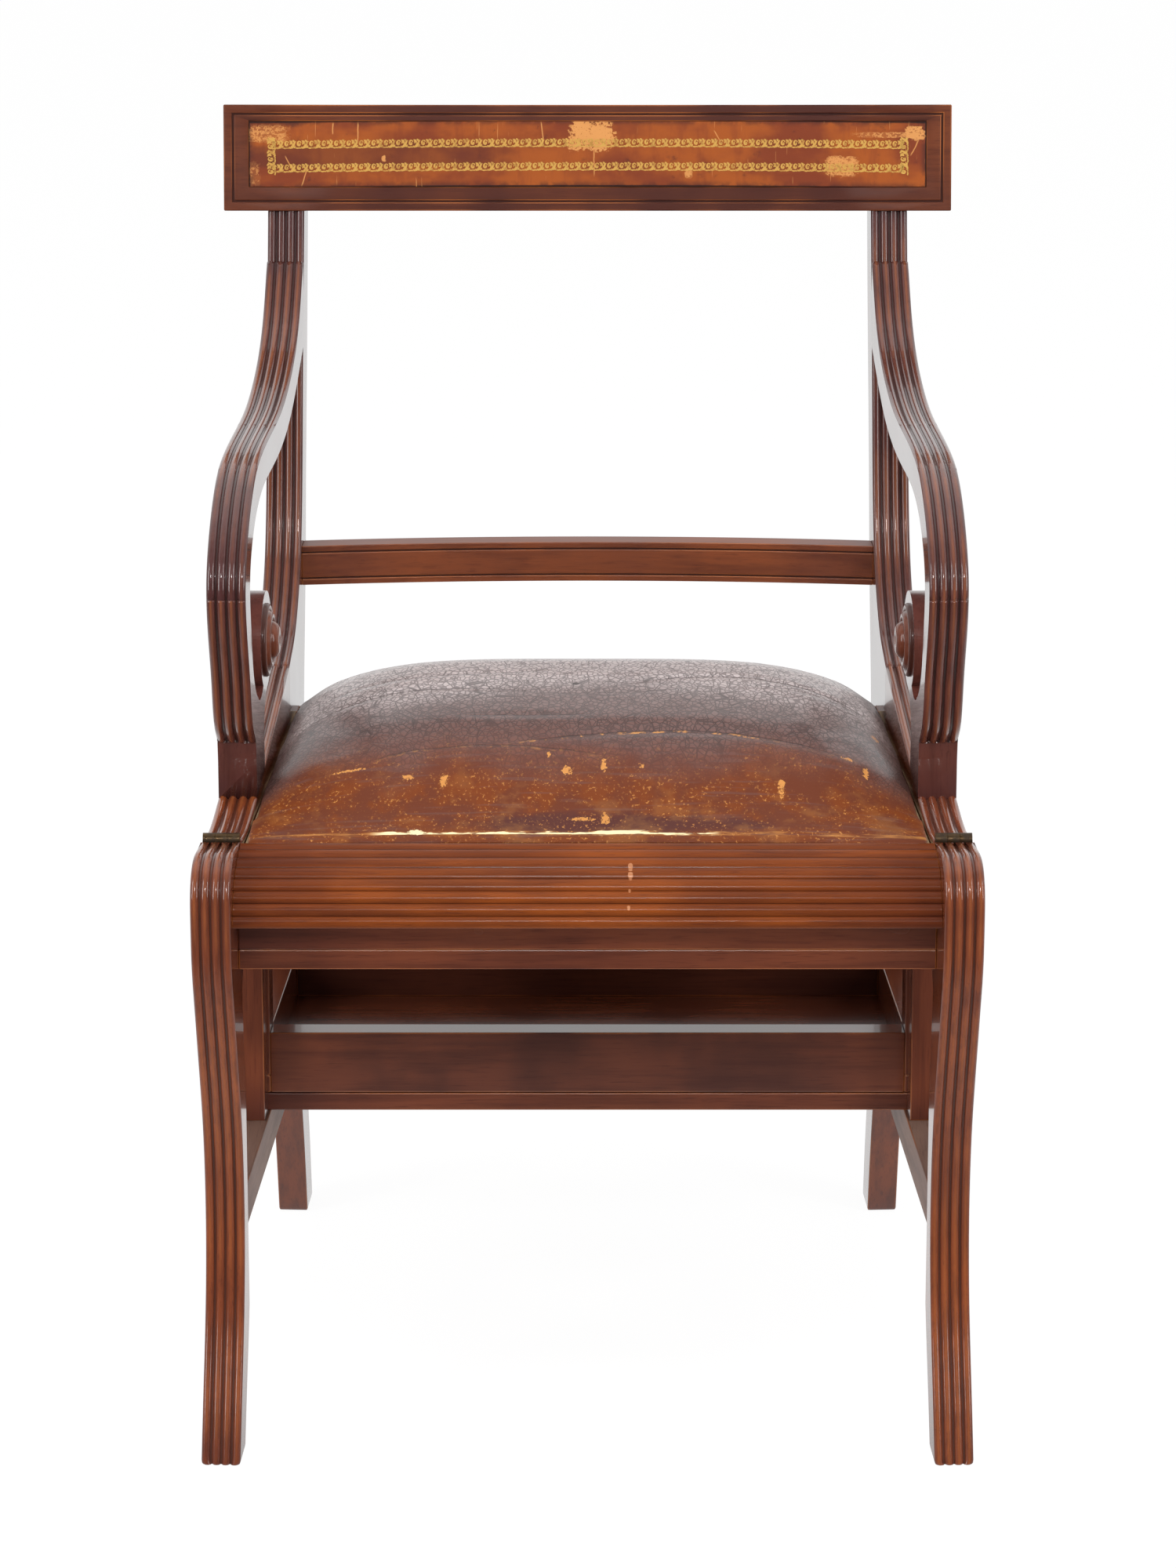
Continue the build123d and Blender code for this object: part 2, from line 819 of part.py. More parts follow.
# Crowned cushion: each pair is a share of the seat's depth and of the crown's rise
cushion_crown_shares = [
    (0.0, 0.0),
    (0.055, 0.05),
    (0.11, 0.18),
    (0.17, 0.40),
    (0.26, 0.70),
    (0.38, 0.91),
    (0.52, 1.0),
    (0.68, 0.95),
    (0.83, 0.80),
    (0.94, 0.52),
    (1.0, 0.22),
]
cushion_foot = seat_frame_top + webbing_thickness
with BuildPart() as seat_cushion:
    sections = []
    for depth_share, rise_share in cushion_crown_shares:
        y = seat_front_y + (seat_back_y - seat_front_y) * depth_share
        half = seat_x(y)
        side_top = cushion_foot + cushion_side_height * (1 + rise_share) / 2
        crown = cushion_foot + cushion_side_height + (cushion_rise - cushion_side_height) * rise_share
        section = Plane(origin=(0, y, 0), x_dir=(1, 0, 0), z_dir=(0, -1, 0))
        with BuildSketch(section):
            with BuildLine():
                Line((-half + cushion_draw_in, cushion_foot), (half - cushion_draw_in, cushion_foot))
                Line((half - cushion_draw_in, cushion_foot), (half, side_top))
                ThreePointArc((half, side_top), (0, crown), (-half, side_top))
                Line((-half, side_top), (-half + cushion_draw_in, cushion_foot))
            make_face()
    loft()
write_piece(seat_cushion, "seat_cushion")

# Bowed crest rail with its leather panel
with BuildPart() as crest_leather:
    leather_front = -crest_leather_thickness + crest_leather_sink
    leather_bow = crest_bow * (crest_leather_length / crest_length) ** 2
    leather_plane = crest_plane.offset(crest_leather_margin_low)
    leather_sheet = bowed_sketch(
        leather_plane,
        crest_leather_length / 2,
        crest_bow - leather_bow + leather_front,
        crest_leather_thickness,
        leather_bow,
    )
    extrude(leather_sheet, amount=crest_leather_width)
write_piece(crest_leather, "crest_leather")


def crest_skin(margin, depth):
    """Front skin of the crest rail, up to a margin from its edges and ends."""
    half = crest_length / 2 - margin
    bow = crest_bow * (2 * half / crest_length) ** 2
    skin_front = crest_bow - bow - overrun
    sheet = bowed_sketch(crest_plane.offset(margin), half, skin_front, overrun + depth, bow)
    return extrude(sheet, amount=crest_rise - 2 * margin, mode=Mode.PRIVATE)


with BuildPart() as crest_rail:
    crest_sheet = bowed_sketch(crest_plane, crest_length / 2, 0, crest_thickness, crest_bow)
    extrude(crest_sheet, amount=crest_rise)
    groove_outer = crest_skin(crest_bead_width, crest_bead_depth)
    field = crest_skin(crest_bead_width + crest_bead_groove, crest_thickness)
    add(groove_outer - field, mode=Mode.SUBTRACT)
    add(crest_leather.part, mode=Mode.SUBTRACT)
write_piece(crest_rail, "crest_rail")

# Bowed cross rail between the posts
with BuildPart() as cross_rail:
    cross_plan = Plane.XY.offset(overall_height * cross_rail_foot_share)
    cross_half = crest_length / 2
    cross_front_y = cross_rail_y - cross_rail_bow
    full_bow = cross_rail_bow * (cross_half / inner_x(cross_rail_y)) ** 2
    cross_sheet = bowed_sketch(
        cross_plan, cross_half, cross_front_y, cross_rail_thickness, full_bow,
    )
    extrude(cross_sheet, amount=cross_rail_height)
    groove_sheet_depth = overrun + crest_bead_depth
    for groove_foot in (
        cross_rail_bead_width,
        cross_rail_height - cross_rail_bead_width - crest_bead_groove,
    ):
        groove_sheet = bowed_sketch(
            cross_plan.offset(groove_foot), cross_half, cross_front_y - overrun,
            groove_sheet_depth, full_bow,
        )
        extrude(groove_sheet, amount=crest_bead_groove, mode=Mode.SUBTRACT)
    trim_between_frames()
write_piece(cross_rail, "cross_rail")

# Third tread, under the side rails and upside down while the chair is closed
third_tread_plan = [(wide_x(top_face_y), top_face_y), (wide_x(mid_post_rear_y), mid_post_rear_y)]
third_tread_foot = high_tread_height + tread_gap
with BuildPart() as tread_third:
    tread_sheet = plan(third_tread_foot, *both_sides(third_tread_plan))
    extrude(tread_sheet, amount=rail_bottom_height - third_tread_foot)
write_piece(tread_third, "tread_third")

# Fourth tread, a tray upside down on the first tread, with its aprons
folding_rear_y = mid_post_rear_y + fold_gap
fourth_tread_foot = low_tread_height + tread_gap
fourth_tread_top = fourth_tread_foot + low_tread_thickness
tray_top = low_tread_height + tray_height
apron_back_y = folding_rear_y + tray_apron_thickness
fourth_tread_plan = [
    (tray_inner_x(apron_back_y), apron_back_y),
    (tray_inner_x(folding_rear_y), folding_rear_y),
    (wide_x(folding_rear_y), folding_rear_y),
] + rear_tread_plan[1:]
with BuildPart() as tread_fourth:
    tread_sheet = plan(fourth_tread_foot, *both_sides(fourth_tread_plan))
    extrude(tread_sheet, amount=low_tread_thickness)
write_piece(tread_fourth, "tread_fourth")

with BuildPart() as folding_mid_post:
    side_strip(
        folding_rear_y, folding_rear_y + mid_post_depth, folding_post_inset, mid_post_thickness,
        fourth_tread_top, rail_bottom_height,
    )
write_pair(folding_mid_post, "folding_mid_post")

with BuildPart() as tray_front_apron:
    cross_board(folding_rear_y, apron_back_y, fourth_tread_foot, tray_top, tray_inner_x)
write_piece(tray_front_apron, "tray_front_apron")

with BuildPart() as tray_side_apron:
    side_strip(
        folding_rear_y + mid_post_depth, tray_rear_y + tray_apron_thickness,
        folding_post_inset, mid_post_thickness, fourth_tread_top, tray_top,
    )
    add(rear_leg_blank.part, mode=Mode.SUBTRACT)
write_pair(tray_side_apron, "tray_side_apron")

with BuildPart() as tray_rear_apron:
    tray_back_y = tray_rear_y + tray_apron_thickness
    cross_board(tray_rear_y, tray_back_y, fourth_tread_top, tray_top, tray_inner_x)
write_piece(tray_rear_apron, "tray_rear_apron")

# Hinges: the base leaf has the outer knuckles and holds the pin
with BuildPart() as hinge_base_leaf:
    leaf_plate(base_face_y, -1, Mode.ADD)
    relief = hinge_barrel_radius + hinge_barrel_relief / 2
    round_bar(hinge_low_x, hinge_length, hinge_barrel_radius)
    round_bar(
        hinge_low_x + knuckle_length, knuckle_length + 2 * hinge_knuckle_gap, relief, Mode.SUBTRACT,
    )
    round_bar(hinge_low_x, hinge_length, hinge_pin_radius, Mode.SUBTRACT)
    screw_set(base_face_y, -1, screw_clearance, Mode.SUBTRACT)
write_pair(hinge_base_leaf, "hinge_base_leaf")

with BuildPart() as hinge_top_leaf:
    leaf_plate(top_face_y, 1, Mode.ADD)
    for index in (0, 2):
        start = hinge_low_x + index * knuckle_pitch - hinge_knuckle_gap
        round_bar(start, knuckle_length + 2 * hinge_knuckle_gap, relief, Mode.SUBTRACT)
    round_bar(hinge_low_x + knuckle_pitch, knuckle_length, hinge_barrel_radius)
    bore = hinge_pin_radius + hinge_pin_clearance
    round_bar(hinge_low_x, hinge_length, bore, Mode.SUBTRACT)
    screw_set(top_face_y, 1, screw_clearance, Mode.SUBTRACT)
write_pair(hinge_top_leaf, "hinge_top_leaf")

with BuildPart() as hinge_pins:
    round_bar(hinge_low_x, hinge_length, hinge_pin_radius)
    mirror(hinge_pins.part, about=Plane.YZ)
write_piece(hinge_pins, "hinge_pins")

with BuildPart() as hinge_base_screws:
    screw_set(base_face_y, -1, 0, Mode.ADD)
    mirror(hinge_base_screws.part, about=Plane.YZ)
write_piece(hinge_base_screws, "hinge_base_screws")

with BuildPart() as hinge_top_screws:
    screw_set(top_face_y, 1, 0, Mode.ADD)
    mirror(hinge_top_screws.part, about=Plane.YZ)
write_piece(hinge_top_screws, "hinge_top_screws")
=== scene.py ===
"""Looks of a library step chair: reeded mahogany, worn leather and a gilt-tooled crest panel."""
import json
import logging
import math
from collections.abc import Callable, Iterable
from dataclasses import dataclass, field
from enum import Enum
from functools import reduce
from typing import Any, Optional, Union

import bmesh
import bpy
import numpy as np
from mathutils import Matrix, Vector, kdtree
from mathutils.bvhtree import BVHTree


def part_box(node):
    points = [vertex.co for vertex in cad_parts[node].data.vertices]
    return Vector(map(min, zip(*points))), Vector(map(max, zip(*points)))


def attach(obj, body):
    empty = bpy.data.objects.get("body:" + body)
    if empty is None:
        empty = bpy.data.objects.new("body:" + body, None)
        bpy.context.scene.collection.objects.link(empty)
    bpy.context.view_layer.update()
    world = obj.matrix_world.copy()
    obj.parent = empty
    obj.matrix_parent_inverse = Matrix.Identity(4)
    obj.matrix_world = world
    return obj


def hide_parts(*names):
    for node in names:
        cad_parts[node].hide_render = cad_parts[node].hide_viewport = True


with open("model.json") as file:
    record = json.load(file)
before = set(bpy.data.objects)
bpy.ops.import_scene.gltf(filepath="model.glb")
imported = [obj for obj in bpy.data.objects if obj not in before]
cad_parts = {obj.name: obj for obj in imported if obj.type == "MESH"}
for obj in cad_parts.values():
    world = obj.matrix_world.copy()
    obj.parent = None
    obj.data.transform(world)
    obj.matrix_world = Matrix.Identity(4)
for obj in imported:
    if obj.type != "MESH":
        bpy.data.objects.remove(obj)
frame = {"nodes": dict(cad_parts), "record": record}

log = logging.getLogger("library_step_chair")

Colour = tuple[float, float, float]
Point = tuple[float, float, float]
Place = tuple[float, float]
Number = Union[float, "Value"]
Settings = Optional[dict[str, Any]]
Sockets = Optional[dict[Union[str, int], Any]]
Material = bpy.types.Material
Mesh = bpy.types.Mesh
Piece = bpy.types.Object
Socket = bpy.types.NodeSocket
Shape = bmesh.types.BMesh
Face = bmesh.types.BMFace

BODY_OF = {
    node: body for body, nodes in frame["record"]["behaviour"]["bodies"].items() for node in nodes
}
FRAME_HALF_WIDTH = 0.276
FRAME_FRONT = -0.300
FRAME_THICKNESS = 0.028
TOE_IN = math.radians(3.03)
HAIR = 1e-7
REED_TOP = 1
GROOVE = 2


class Grain(Enum):
    """Direction in which the wood's grain runs in a member."""

    ACROSS = 0
    DEPTH = 1
    UPRIGHT = 2


class Side(Enum):
    """Side of the chair, as the sign of its x."""

    LEFT = -1
    RIGHT = 1


def operator(operation: str, swapped: bool = False) -> Callable[..., "Value"]:
    """Make the method that adds one Math node for a Python operator.

    Args:
        operation: The node's operation.
        swapped: Whether the value is the second operand.

    Returns:
        The method.
    """

    def method(self: "Value", *others: Number) -> "Value":
        """Add the node and take its result."""
        operands = (*others, self) if swapped else (self, *others)
        return self.graph.maths(operation, *operands)

    return method


class Value:
    """A number that varies over a surface, with Python's operators as Math nodes."""

    def __init__(self, graph: "Graph", socket: Socket) -> None:
        """Keep the graph and the output socket."""
        self.graph = graph
        self.socket = socket

    __add__ = __radd__ = operator("ADD")
    __mul__ = __rmul__ = operator("MULTIPLY")
    __sub__ = operator("SUBTRACT")
    __rsub__ = operator("SUBTRACT", swapped=True)
    __truediv__ = operator("DIVIDE")
    __pow__ = operator("POWER")
    __abs__ = operator("ABSOLUTE")
    at_most = operator("MINIMUM")
    at_least = operator("MAXIMUM")

    def step(self, low: float, high: float) -> "Value":
        """Smooth step from 0 at low to 1 at high, or the other way round.

        Args:
            low: Value at which the result is 0.
            high: Value at which the result is 1.

        Returns:
            The stepped value.
        """
        flip = low > high
        ends = {"From Min": min(low, high), "From Max": max(low, high)}
        ends.update({"To Min": float(flip), "To Max": float(not flip), "Value": self})
        return self.graph.value("ShaderNodeMapRange", {"interpolation_type": "SMOOTHSTEP"}, ends)


@dataclass
class Graph:
    """A node tree with the one method that adds nodes to it."""

    tree: bpy.types.NodeTree

    def node(
        self, kind: str, settings: Settings = None, sockets: Sockets = None
    ) -> bpy.types.Node:
        """Add a node, set it up and feed its sockets.

        Args:
            kind: The node's type.
            settings: Properties of the node, set first.
            sockets: Values or links by socket name or number.

        Returns:
            The new node.
        """
        made = self.tree.nodes.new(kind)
        for name, value in (settings or {}).items():
            setattr(made, name, value)
        for name, value in (sockets or {}).items():
            plug = made.inputs[name]
            if isinstance(value, Value):
                value = value.socket
            if isinstance(value, Socket):
                self.tree.links.new(value, plug)
            elif plug.type == "RGBA":
                plug.default_value = (*value, 1.0)
            else:
                plug.default_value = value
        return made

    def value(self, kind: str, settings: Settings, sockets: Sockets) -> Value:
        """Add a node whose first output is a number."""
        return Value(self, self.node(kind, settings, sockets).outputs[0])

    def maths(self, operation: str, *operands: Number) -> Value:
        """Add a Math node."""
        return self.value("ShaderNodeMath", {"operation": operation}, dict(enumerate(operands)))

    def place(self, centre: Point = (0, 0, 0), scale: Point = (1, 1, 1)) -> Socket:
        """Object coordinates, centred and scaled.

        Args:
            centre: Point that becomes the origin.
            scale: Factor on each axis.

        Returns:
            The vector socket.
        """
        spot = self.node("ShaderNodeTexCoord").outputs["Object"]
        for operation, by in (("SUBTRACT", centre), ("MULTIPLY", scale)):
            made = self.node("ShaderNodeVectorMath", {"operation": operation}, {0: spot, 1: by})
            spot = made.outputs[0]
        return spot

    def axes(self, vector: Socket) -> list[Value]:
        """The three parts of a vector."""
        parts = self.node("ShaderNodeSeparateXYZ", None, {0: vector}).outputs
        return [Value(self, part) for part in parts]

    def noise(
        self, centre: Point, scale: float, detail: float, rough: float = 0.5,
        stretch: Point = (1, 1, 1),
    ) -> Value:
        """Noise between 0 and 1.

        Args:
            centre: Where its pattern starts.
            scale: Repeats to the metre.
            detail: Octaves.
            rough: Weight of the finer octaves.
            stretch: Further repeats on each axis.

        Returns:
            The noise.
        """
        vector = self.place(centre, stretch)
        sockets = {"Vector": vector, "Scale": scale, "Detail": detail, "Roughness": rough}
        return self.value("ShaderNodeTexNoise", None, sockets)

    def cracks(self, centre: Point, scale: float, stretch: Point) -> Value:
        """Distance to the edges of a field of random cells."""
        sockets = {"Vector": self.place(centre, stretch), "Scale": scale}
        return self.value("ShaderNodeTexVoronoi", {"feature": "DISTANCE_TO_EDGE"}, sockets)

    def attribute(self, name: str) -> Value:
        """A number that the piece's mesh carries."""
        made = self.node("ShaderNodeAttribute", {"attribute_name": name})
        return Value(self, made.outputs["Fac"])

    def bump(self, height: Value, depth: float, strength: float) -> Socket:
        """Normal from a height.

        Args:
            height: Height between 0 and 1.
            depth: Depth of the relief, in metres.
            strength: Share of the relief that shows.

        Returns:
            The normal's socket.
        """
        sockets = {"Strength": strength, "Distance": depth, "Height": height}
        return self.node("ShaderNodeBump", None, sockets).outputs[0]


class Paint(Graph):
    """A material's graph, with a colour that is built up in layers."""

    def __init__(self, name: str, colour: Colour) -> None:
        """Start an empty node material on one colour."""
        self.made = bpy.data.materials.new(name)
        self.made.use_nodes = True
        self.made.node_tree.nodes.clear()
        self.colour: Any = colour
        super().__init__(self.made.node_tree)

    def over(self, share: Number, tint: Colour) -> None:
        """Lay a share of a tint over the colour so far."""
        sockets = {0: share, 6: self.colour, 7: tint}
        self.colour = self.node("ShaderNodeMix", {"data_type": "RGBA"}, sockets).outputs[2]

    def close(self, **sockets: Any) -> Material:
        """Add the surface shader and the output.

        Args:
            sockets: The surface shader's other values and links, by name.

        Returns:
            The material.
        """
        named = {name.replace("_", " "): value for name, value in sockets.items()}
        shader = self.node("ShaderNodeBsdfPrincipled", None, {"Base Color": self.colour, **named})
        self.node("ShaderNodeOutputMaterial", None, {0: shader.outputs[0]})
        return self.made


def largest(values: Iterable[Value]) -> Value:
    """The largest of some values."""
    return reduce(Value.at_least, values)


def blot(across: Value, up: Value, centre: Place, radii: Place) -> Value:
    """Squared distance from a centre, which is 1 on the ellipse with these radii.

    Args:
        across: Place on the first axis.
        up: Place on the second axis.
        centre: The ellipse's centre.
        radii: Its half width and half height.

    Returns:
        The squared distance.
    """
    right = (across - centre[0]) / radii[0]
    rise = (up - centre[1]) / radii[1]
    return right * right + rise * rise


@dataclass(frozen=True)
class Mahogany:
    """French-polished mahogany: orange-brown towards the middle of each member and darker towards
    its ends, with rubbed wear and painted highlight on crowns and arrises, and dark polish and
    painted shade in grooves and hollows.
    """

    heart: Colour = (0.180, 0.047, 0.020)
    ruddy: Colour = (0.098, 0.027, 0.017)
    # Dark of the polish and of the painted shade in grooves and hollow corners.
    dark: Colour = (0.045, 0.012, 0.009)
    glaze: Colour = (0.032, 0.010, 0.008)
    # Orange of rubbed wear and of the painted highlight on crowns and arrises.
    rubbed: Colour = (0.33, 0.100, 0.028)
    chipped: Colour = (0.51, 0.22, 0.10)
    roughness: float = 0.24
    coat: float = 0.22
    shine: float = 0.32
    dark_ends: bool = True
    slimness: float = 0.055
    nicks: tuple[Point, ...] = ()

    def material(self, node: str, grain: Grain) -> Material:
        """Polish one member, with its grain and its shading laid along it.

        Args:
            node: The member's CAD node.
            grain: Direction of the grain.

        Returns:
            The material.
        """
        name = node + "_polish"
        paint = Paint(name, self.ruddy)
        low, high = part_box(node)
        way = grain.value
        seed = sum(ord(letter) for letter in name) % 37 / 7.0
        start = (seed, -seed, seed / 2)
        stretch = [1.0 if axis == way else 1 / self.slimness for axis in range(3)]
        streaks = paint.noise(start, 1.0, 5.0, 0.55, tuple(8.0 * part for part in stretch))
        fine = paint.noise(start, 1.6, 3.0, 0.6, tuple(26.0 * part for part in stretch))
        clouds = paint.noise(start, 11.0, 3.0)
        run = paint.axes(paint.place(tuple((low + high) / 2)))[way]
        # Heart colour towards the middle of each member and darker towards its ends; lighter ends
        # where dark_ends is off.
        ends = abs(run) / ((high - low)[way] / 2)
        worn = ends.step(1.02, 0.55) if self.dark_ends else ends.step(0.62, 0.92)
        glaze = paint.attribute("glaze")
        paint.over((worn * 0.55 + clouds.step(0.38, 0.66) * 0.55).at_most(1.0), self.heart)
        paint.over(streaks.step(0.60, 0.32) * 0.42, self.dark)
        paint.over(fine.step(0.46, 0.30) * 0.38, self.dark)
        # Rubbed wear and painted highlight: lighter orange on the reeds' crowns and the eased
        # arrises.
        paint.over(paint.attribute("arris") * clouds.step(0.35, 0.6) * 0.8, self.rubbed)
        # Dark polish and painted shade in the grooves, on the reeds' flanks and in hollow corners.
        paint.over(glaze * 0.82, self.glaze)
        x, _, z = paint.axes(paint.place())
        for across, height, radius in self.nicks:
            off = blot(x, z, (across, height), (radius, radius * 1.3)) + (fine - 0.5) * 2.0
            paint.over(off.step(1.1, 0.6) * 0.75, self.chipped)
        return paint.close(
            Roughness=clouds * 0.16 + glaze * 0.12 + (self.roughness - 0.08),
            Specular_IOR_Level=self.shine,
            Coat_Weight=self.coat,
            Coat_Roughness=0.06,
            Normal=paint.bump(fine * 0.6 + streaks * 0.4, 0.00008, 0.3),
        )


LEGS = Mahogany(
    heart=(0.220, 0.051, 0.016), ruddy=(0.125, 0.030, 0.015), glaze=(0.075, 0.022, 0.013), coat=0.60
)
ARMS = Mahogany(heart=(0.118, 0.035, 0.025), ruddy=(0.066, 0.022, 0.021), coat=0.75, shine=0.42)
CREST = Mahogany(
    heart=(0.138, 0.037, 0.015),
    ruddy=(0.064, 0.018, 0.012),
    roughness=0.36,
    coat=0.0,
    shine=0.12,
    dark_ends=False,
)
CROSS = Mahogany(heart=(0.215, 0.055, 0.018), ruddy=(0.135, 0.037, 0.018), roughness=0.36, coat=0.0)
APRON = Mahogany(
    heart=(0.195, 0.050, 0.021), ruddy=(0.085, 0.025, 0.015), coat=0.70, dark_ends=False
)
RAIL = Mahogany(
    heart=(0.225, 0.051, 0.008),
    ruddy=(0.108, 0.023, 0.007),
    coat=0.05,
    shine=0.12,
    nicks=(
        (0.0300, 0.4352, 0.0016),
        (0.0300, 0.4310, 0.0019),
        (0.0293, 0.4225, 0.0009),
        (0.0286, 0.4124, 0.0012),
    ),
)
# A darker copy for the rear rail and the tray's rear apron: painted shade.
INNER_SHADE = Mahogany(heart=(0.095, 0.026, 0.014), ruddy=(0.050, 0.015, 0.010), coat=0.0)
DRY = Mahogany(
    heart=(0.27, 0.165, 0.125),
    ruddy=(0.165, 0.085, 0.062),
    dark=(0.085, 0.040, 0.030),
    roughness=0.50,
    coat=0.0,
    shine=0.15,
)


@dataclass(frozen=True)
class Beech:
    """Plain unpolished beech of the hidden seat frame."""

    pale: Colour = (0.40, 0.27, 0.15)
    deep: Colour = (0.26, 0.16, 0.085)

    def material(self, name: str) -> Material:
        """Beech with short flecks along its length."""
        paint = Paint(name, self.pale)
        fibres = paint.noise((0, 0, 0), 1.0, 4.0, 0.55, (9.0, 160.0, 160.0))
        flecks = paint.noise((3, 1, 2), 1.0, 2.0, 0.5, (140.0, 900.0, 900.0))
        share = fibres.step(0.35, 0.7) * 0.7 + flecks.step(0.58, 0.68) * 0.3
        paint.over(share.at_most(1.0), self.deep)
        bump = paint.bump(fibres, 0.0002, 0.5)
        return paint.close(Roughness=0.72 - fibres * 0.15, Normal=bump)


@dataclass(frozen=True)
class AgedBrass:
    """Dull brass with a brown-green patina."""

    metal: Colour = (0.13, 0.080, 0.040)
    patina: Colour = (0.032, 0.022, 0.016)

    def material(self, name: str) -> Material:
        """Brass that is bright only where hands and wear reach it."""
        paint = Paint(name, self.metal)
        specks = paint.noise((1, 1, 1), 900.0, 2.0)
        cover = paint.noise((0, 0, 0), 130.0, 5.0, 0.6).step(0.62, 0.38) * 0.75
        cover = cover + specks.step(0.5, 0.7) * 0.2
        paint.over(cover, self.patina)
        return paint.close(
            Metallic=1.0 - cover * 0.45,
            Roughness=cover * 0.3 + 0.3,
            Normal=paint.bump(specks, 0.00008, 0.4),
        )


@dataclass(frozen=True)
class Jute:
    """Woven jute webbing."""

    pale: Colour = (0.44, 0.36, 0.23)
    shade: Colour = (0.20, 0.15, 0.085)
    threads: float = 1200.0

    def material(self, name: str) -> Material:
        """A plain weave of coarse threads."""
        paint = Paint(name, self.pale)
        across, along, _ = paint.axes(paint.place(scale=(self.threads, self.threads, 1.0)))
        thread = largest(abs(paint.maths("SINE", way)) for way in (across, along))
        share = thread.step(0.95, 0.4) * 0.7 + paint.noise((0, 0, 0), 700.0, 3.0, 0.6) * 0.3
        paint.over(share.at_most(1.0), self.shade)
        return paint.close(Roughness=0.9, Normal=paint.bump(thread, 0.0006, 0.8))


@dataclass(frozen=True)
class Crease:
    """A long crease of the seat: a shallow arc from side to side."""

    middle: float
    y: float
    bend: float
    half_length: float
    weight: float
    rubbed: float = 0.0


@dataclass(frozen=True)
class SeatHide:
    """Old hide of the seat: crackled at the back under a pale bloom and painted sheen, rubbed to
    orange at the front.
    """

    bloom_and_sheen: Colour = (0.35, 0.275, 0.265)
    purple: Colour = (0.135, 0.070, 0.062)
    # Colour of the painted sheen on the top of the seat's back.
    pale: Colour = (0.76, 0.66, 0.65)
    tan: Colour = (0.170, 0.037, 0.006)
    # Dark of the stains and of the painted shadow near the front.
    stain_and_shadow: Colour = (0.075, 0.020, 0.016)
    scuff: Colour = (0.62, 0.27, 0.07)
    cream: Colour = (0.92, 0.78, 0.46)
    # Dark of the crackle and the hole, and of the painted shade in the creases.
    crack: Colour = (0.030, 0.014, 0.012)
    creases: tuple[Crease, ...] = (
        Crease(-0.01, -0.033, 1.35, 0.085, 0.5),
        Crease(-0.13, -0.018, -1.3, 0.11, 0.9),
        Crease(-0.12, 0.020, 0.6, 0.10, 0.7),
        Crease(0.13, 0.016, -2.4, 0.11, 1.0),
        Crease(0.17, 0.000, -3.4, 0.07, 0.6),
        Crease(-0.045, -0.079, 0.4, 0.055, 0.7),
        Crease(-0.075, -0.1235, -1.7, 0.095, 0.6, 0.35),
        Crease(0.065, -0.1035, -1.2, 0.13, 0.9, 1.0),
    )
    spots: tuple[tuple[float, float, float, float], ...] = (
        (-0.0144, -0.1482, 0.0036, 0.0042), (-0.1031, -0.1565, 0.0030, 0.0075),
        (-0.1715, -0.1404, 0.0120, 0.0014), (0.0118, -0.1427, 0.0022, 0.0052),
        (-0.0038, -0.1935, 0.0080, 0.0026), (0.0125, -0.1925, 0.0030, 0.0060),
        (-0.1289, -0.1518, 0.0044, 0.0024), (0.1389, -0.1613, 0.0026, 0.0085),
        (0.1888, -0.1198, 0.0050, 0.0022), (0.2005, -0.1316, 0.0022, 0.0060),
        (0.0389, -0.1435, 0.0022, 0.0022), (-0.0281, -0.1331, 0.0016, 0.0030),
        (0.2107, -0.0473, 0.0030, 0.0050),
    )
    hole: tuple[Place, Place] = ((-0.0087, -0.0126), (0.003, 0.004))
    bald: tuple[Place, Place] = ((-0.1215, -0.2105), (0.0065, 0.0036))
    shadow: tuple[Place, Place] = ((0.01, 0.066), (0.12, 0.040))
    brink_y: float = -0.2122
    brink_x: float = -0.030

    def folds(self, x: Value, y: Value, wander: Value) -> tuple[Value, Value]:
        """The long creases.

        Args:
            x: Place across the seat.
            y: Place along the seat.
            wander: How far the creases stray from their arcs.

        Returns:
            How deep each place lies in a crease, and how far a rubbed lip covers it.
        """
        lines, lips = [], []
        for crease in self.creases:
            off = x - crease.middle
            far = y - (off * off * crease.bend + wander + crease.y)
            reach = abs(off).step(crease.half_length, crease.half_length * 0.6) * crease.weight
            lines.append(abs(far).step(0.0016, 0.0) * reach)
            if crease.rubbed:
                lips.append(abs(far + 0.0016).step(0.0022, 0.0004) * reach * crease.rubbed)
        return largest(lines), largest(lips)

    def material(self, name: str, low: Vector, high: Vector) -> Material:
        """Colour, cracks, creases and scuffs of the seat, with painted sheen at the back, painted
        shade in the creases and a painted shadow near the front.

        Args:
            name: The material's name.
            low: Lowest corner of the cushion.
            high: Highest corner of the cushion.

        Returns:
            The material.
        """
        paint = Paint(name, self.tan)
        x, y, _ = paint.axes(paint.place())
        clouds = paint.noise((2, 5, 1), 9.0, 3.0)
        mottle = paint.noise((7, 1, 3), 46.0, 4.0, 0.6)
        grit = paint.noise((4, 4, 4), 460.0, 4.0, 0.65, (1.0, 0.7, 1.0))
        drag = paint.noise((1, 6, 2), 1.0, 3.0, 0.5, (16.0, 260.0, 60.0))
        glow = paint.noise((0, 3, 8), 24.0, 4.0, 0.65)
        broken = paint.noise((9, 2, 2), 75.0, 3.0, 0.7)
        worn = paint.noise((1, 0, 0), 1.0, 4.0, 0.6, (30.0, 160.0, 90.0))
        depth = (y - low.y) / (high.y - low.y)
        drift = depth + (clouds - 0.5) * 0.28 + (mottle - 0.5) * 0.08
        old = drift.step(0.18, 0.38)

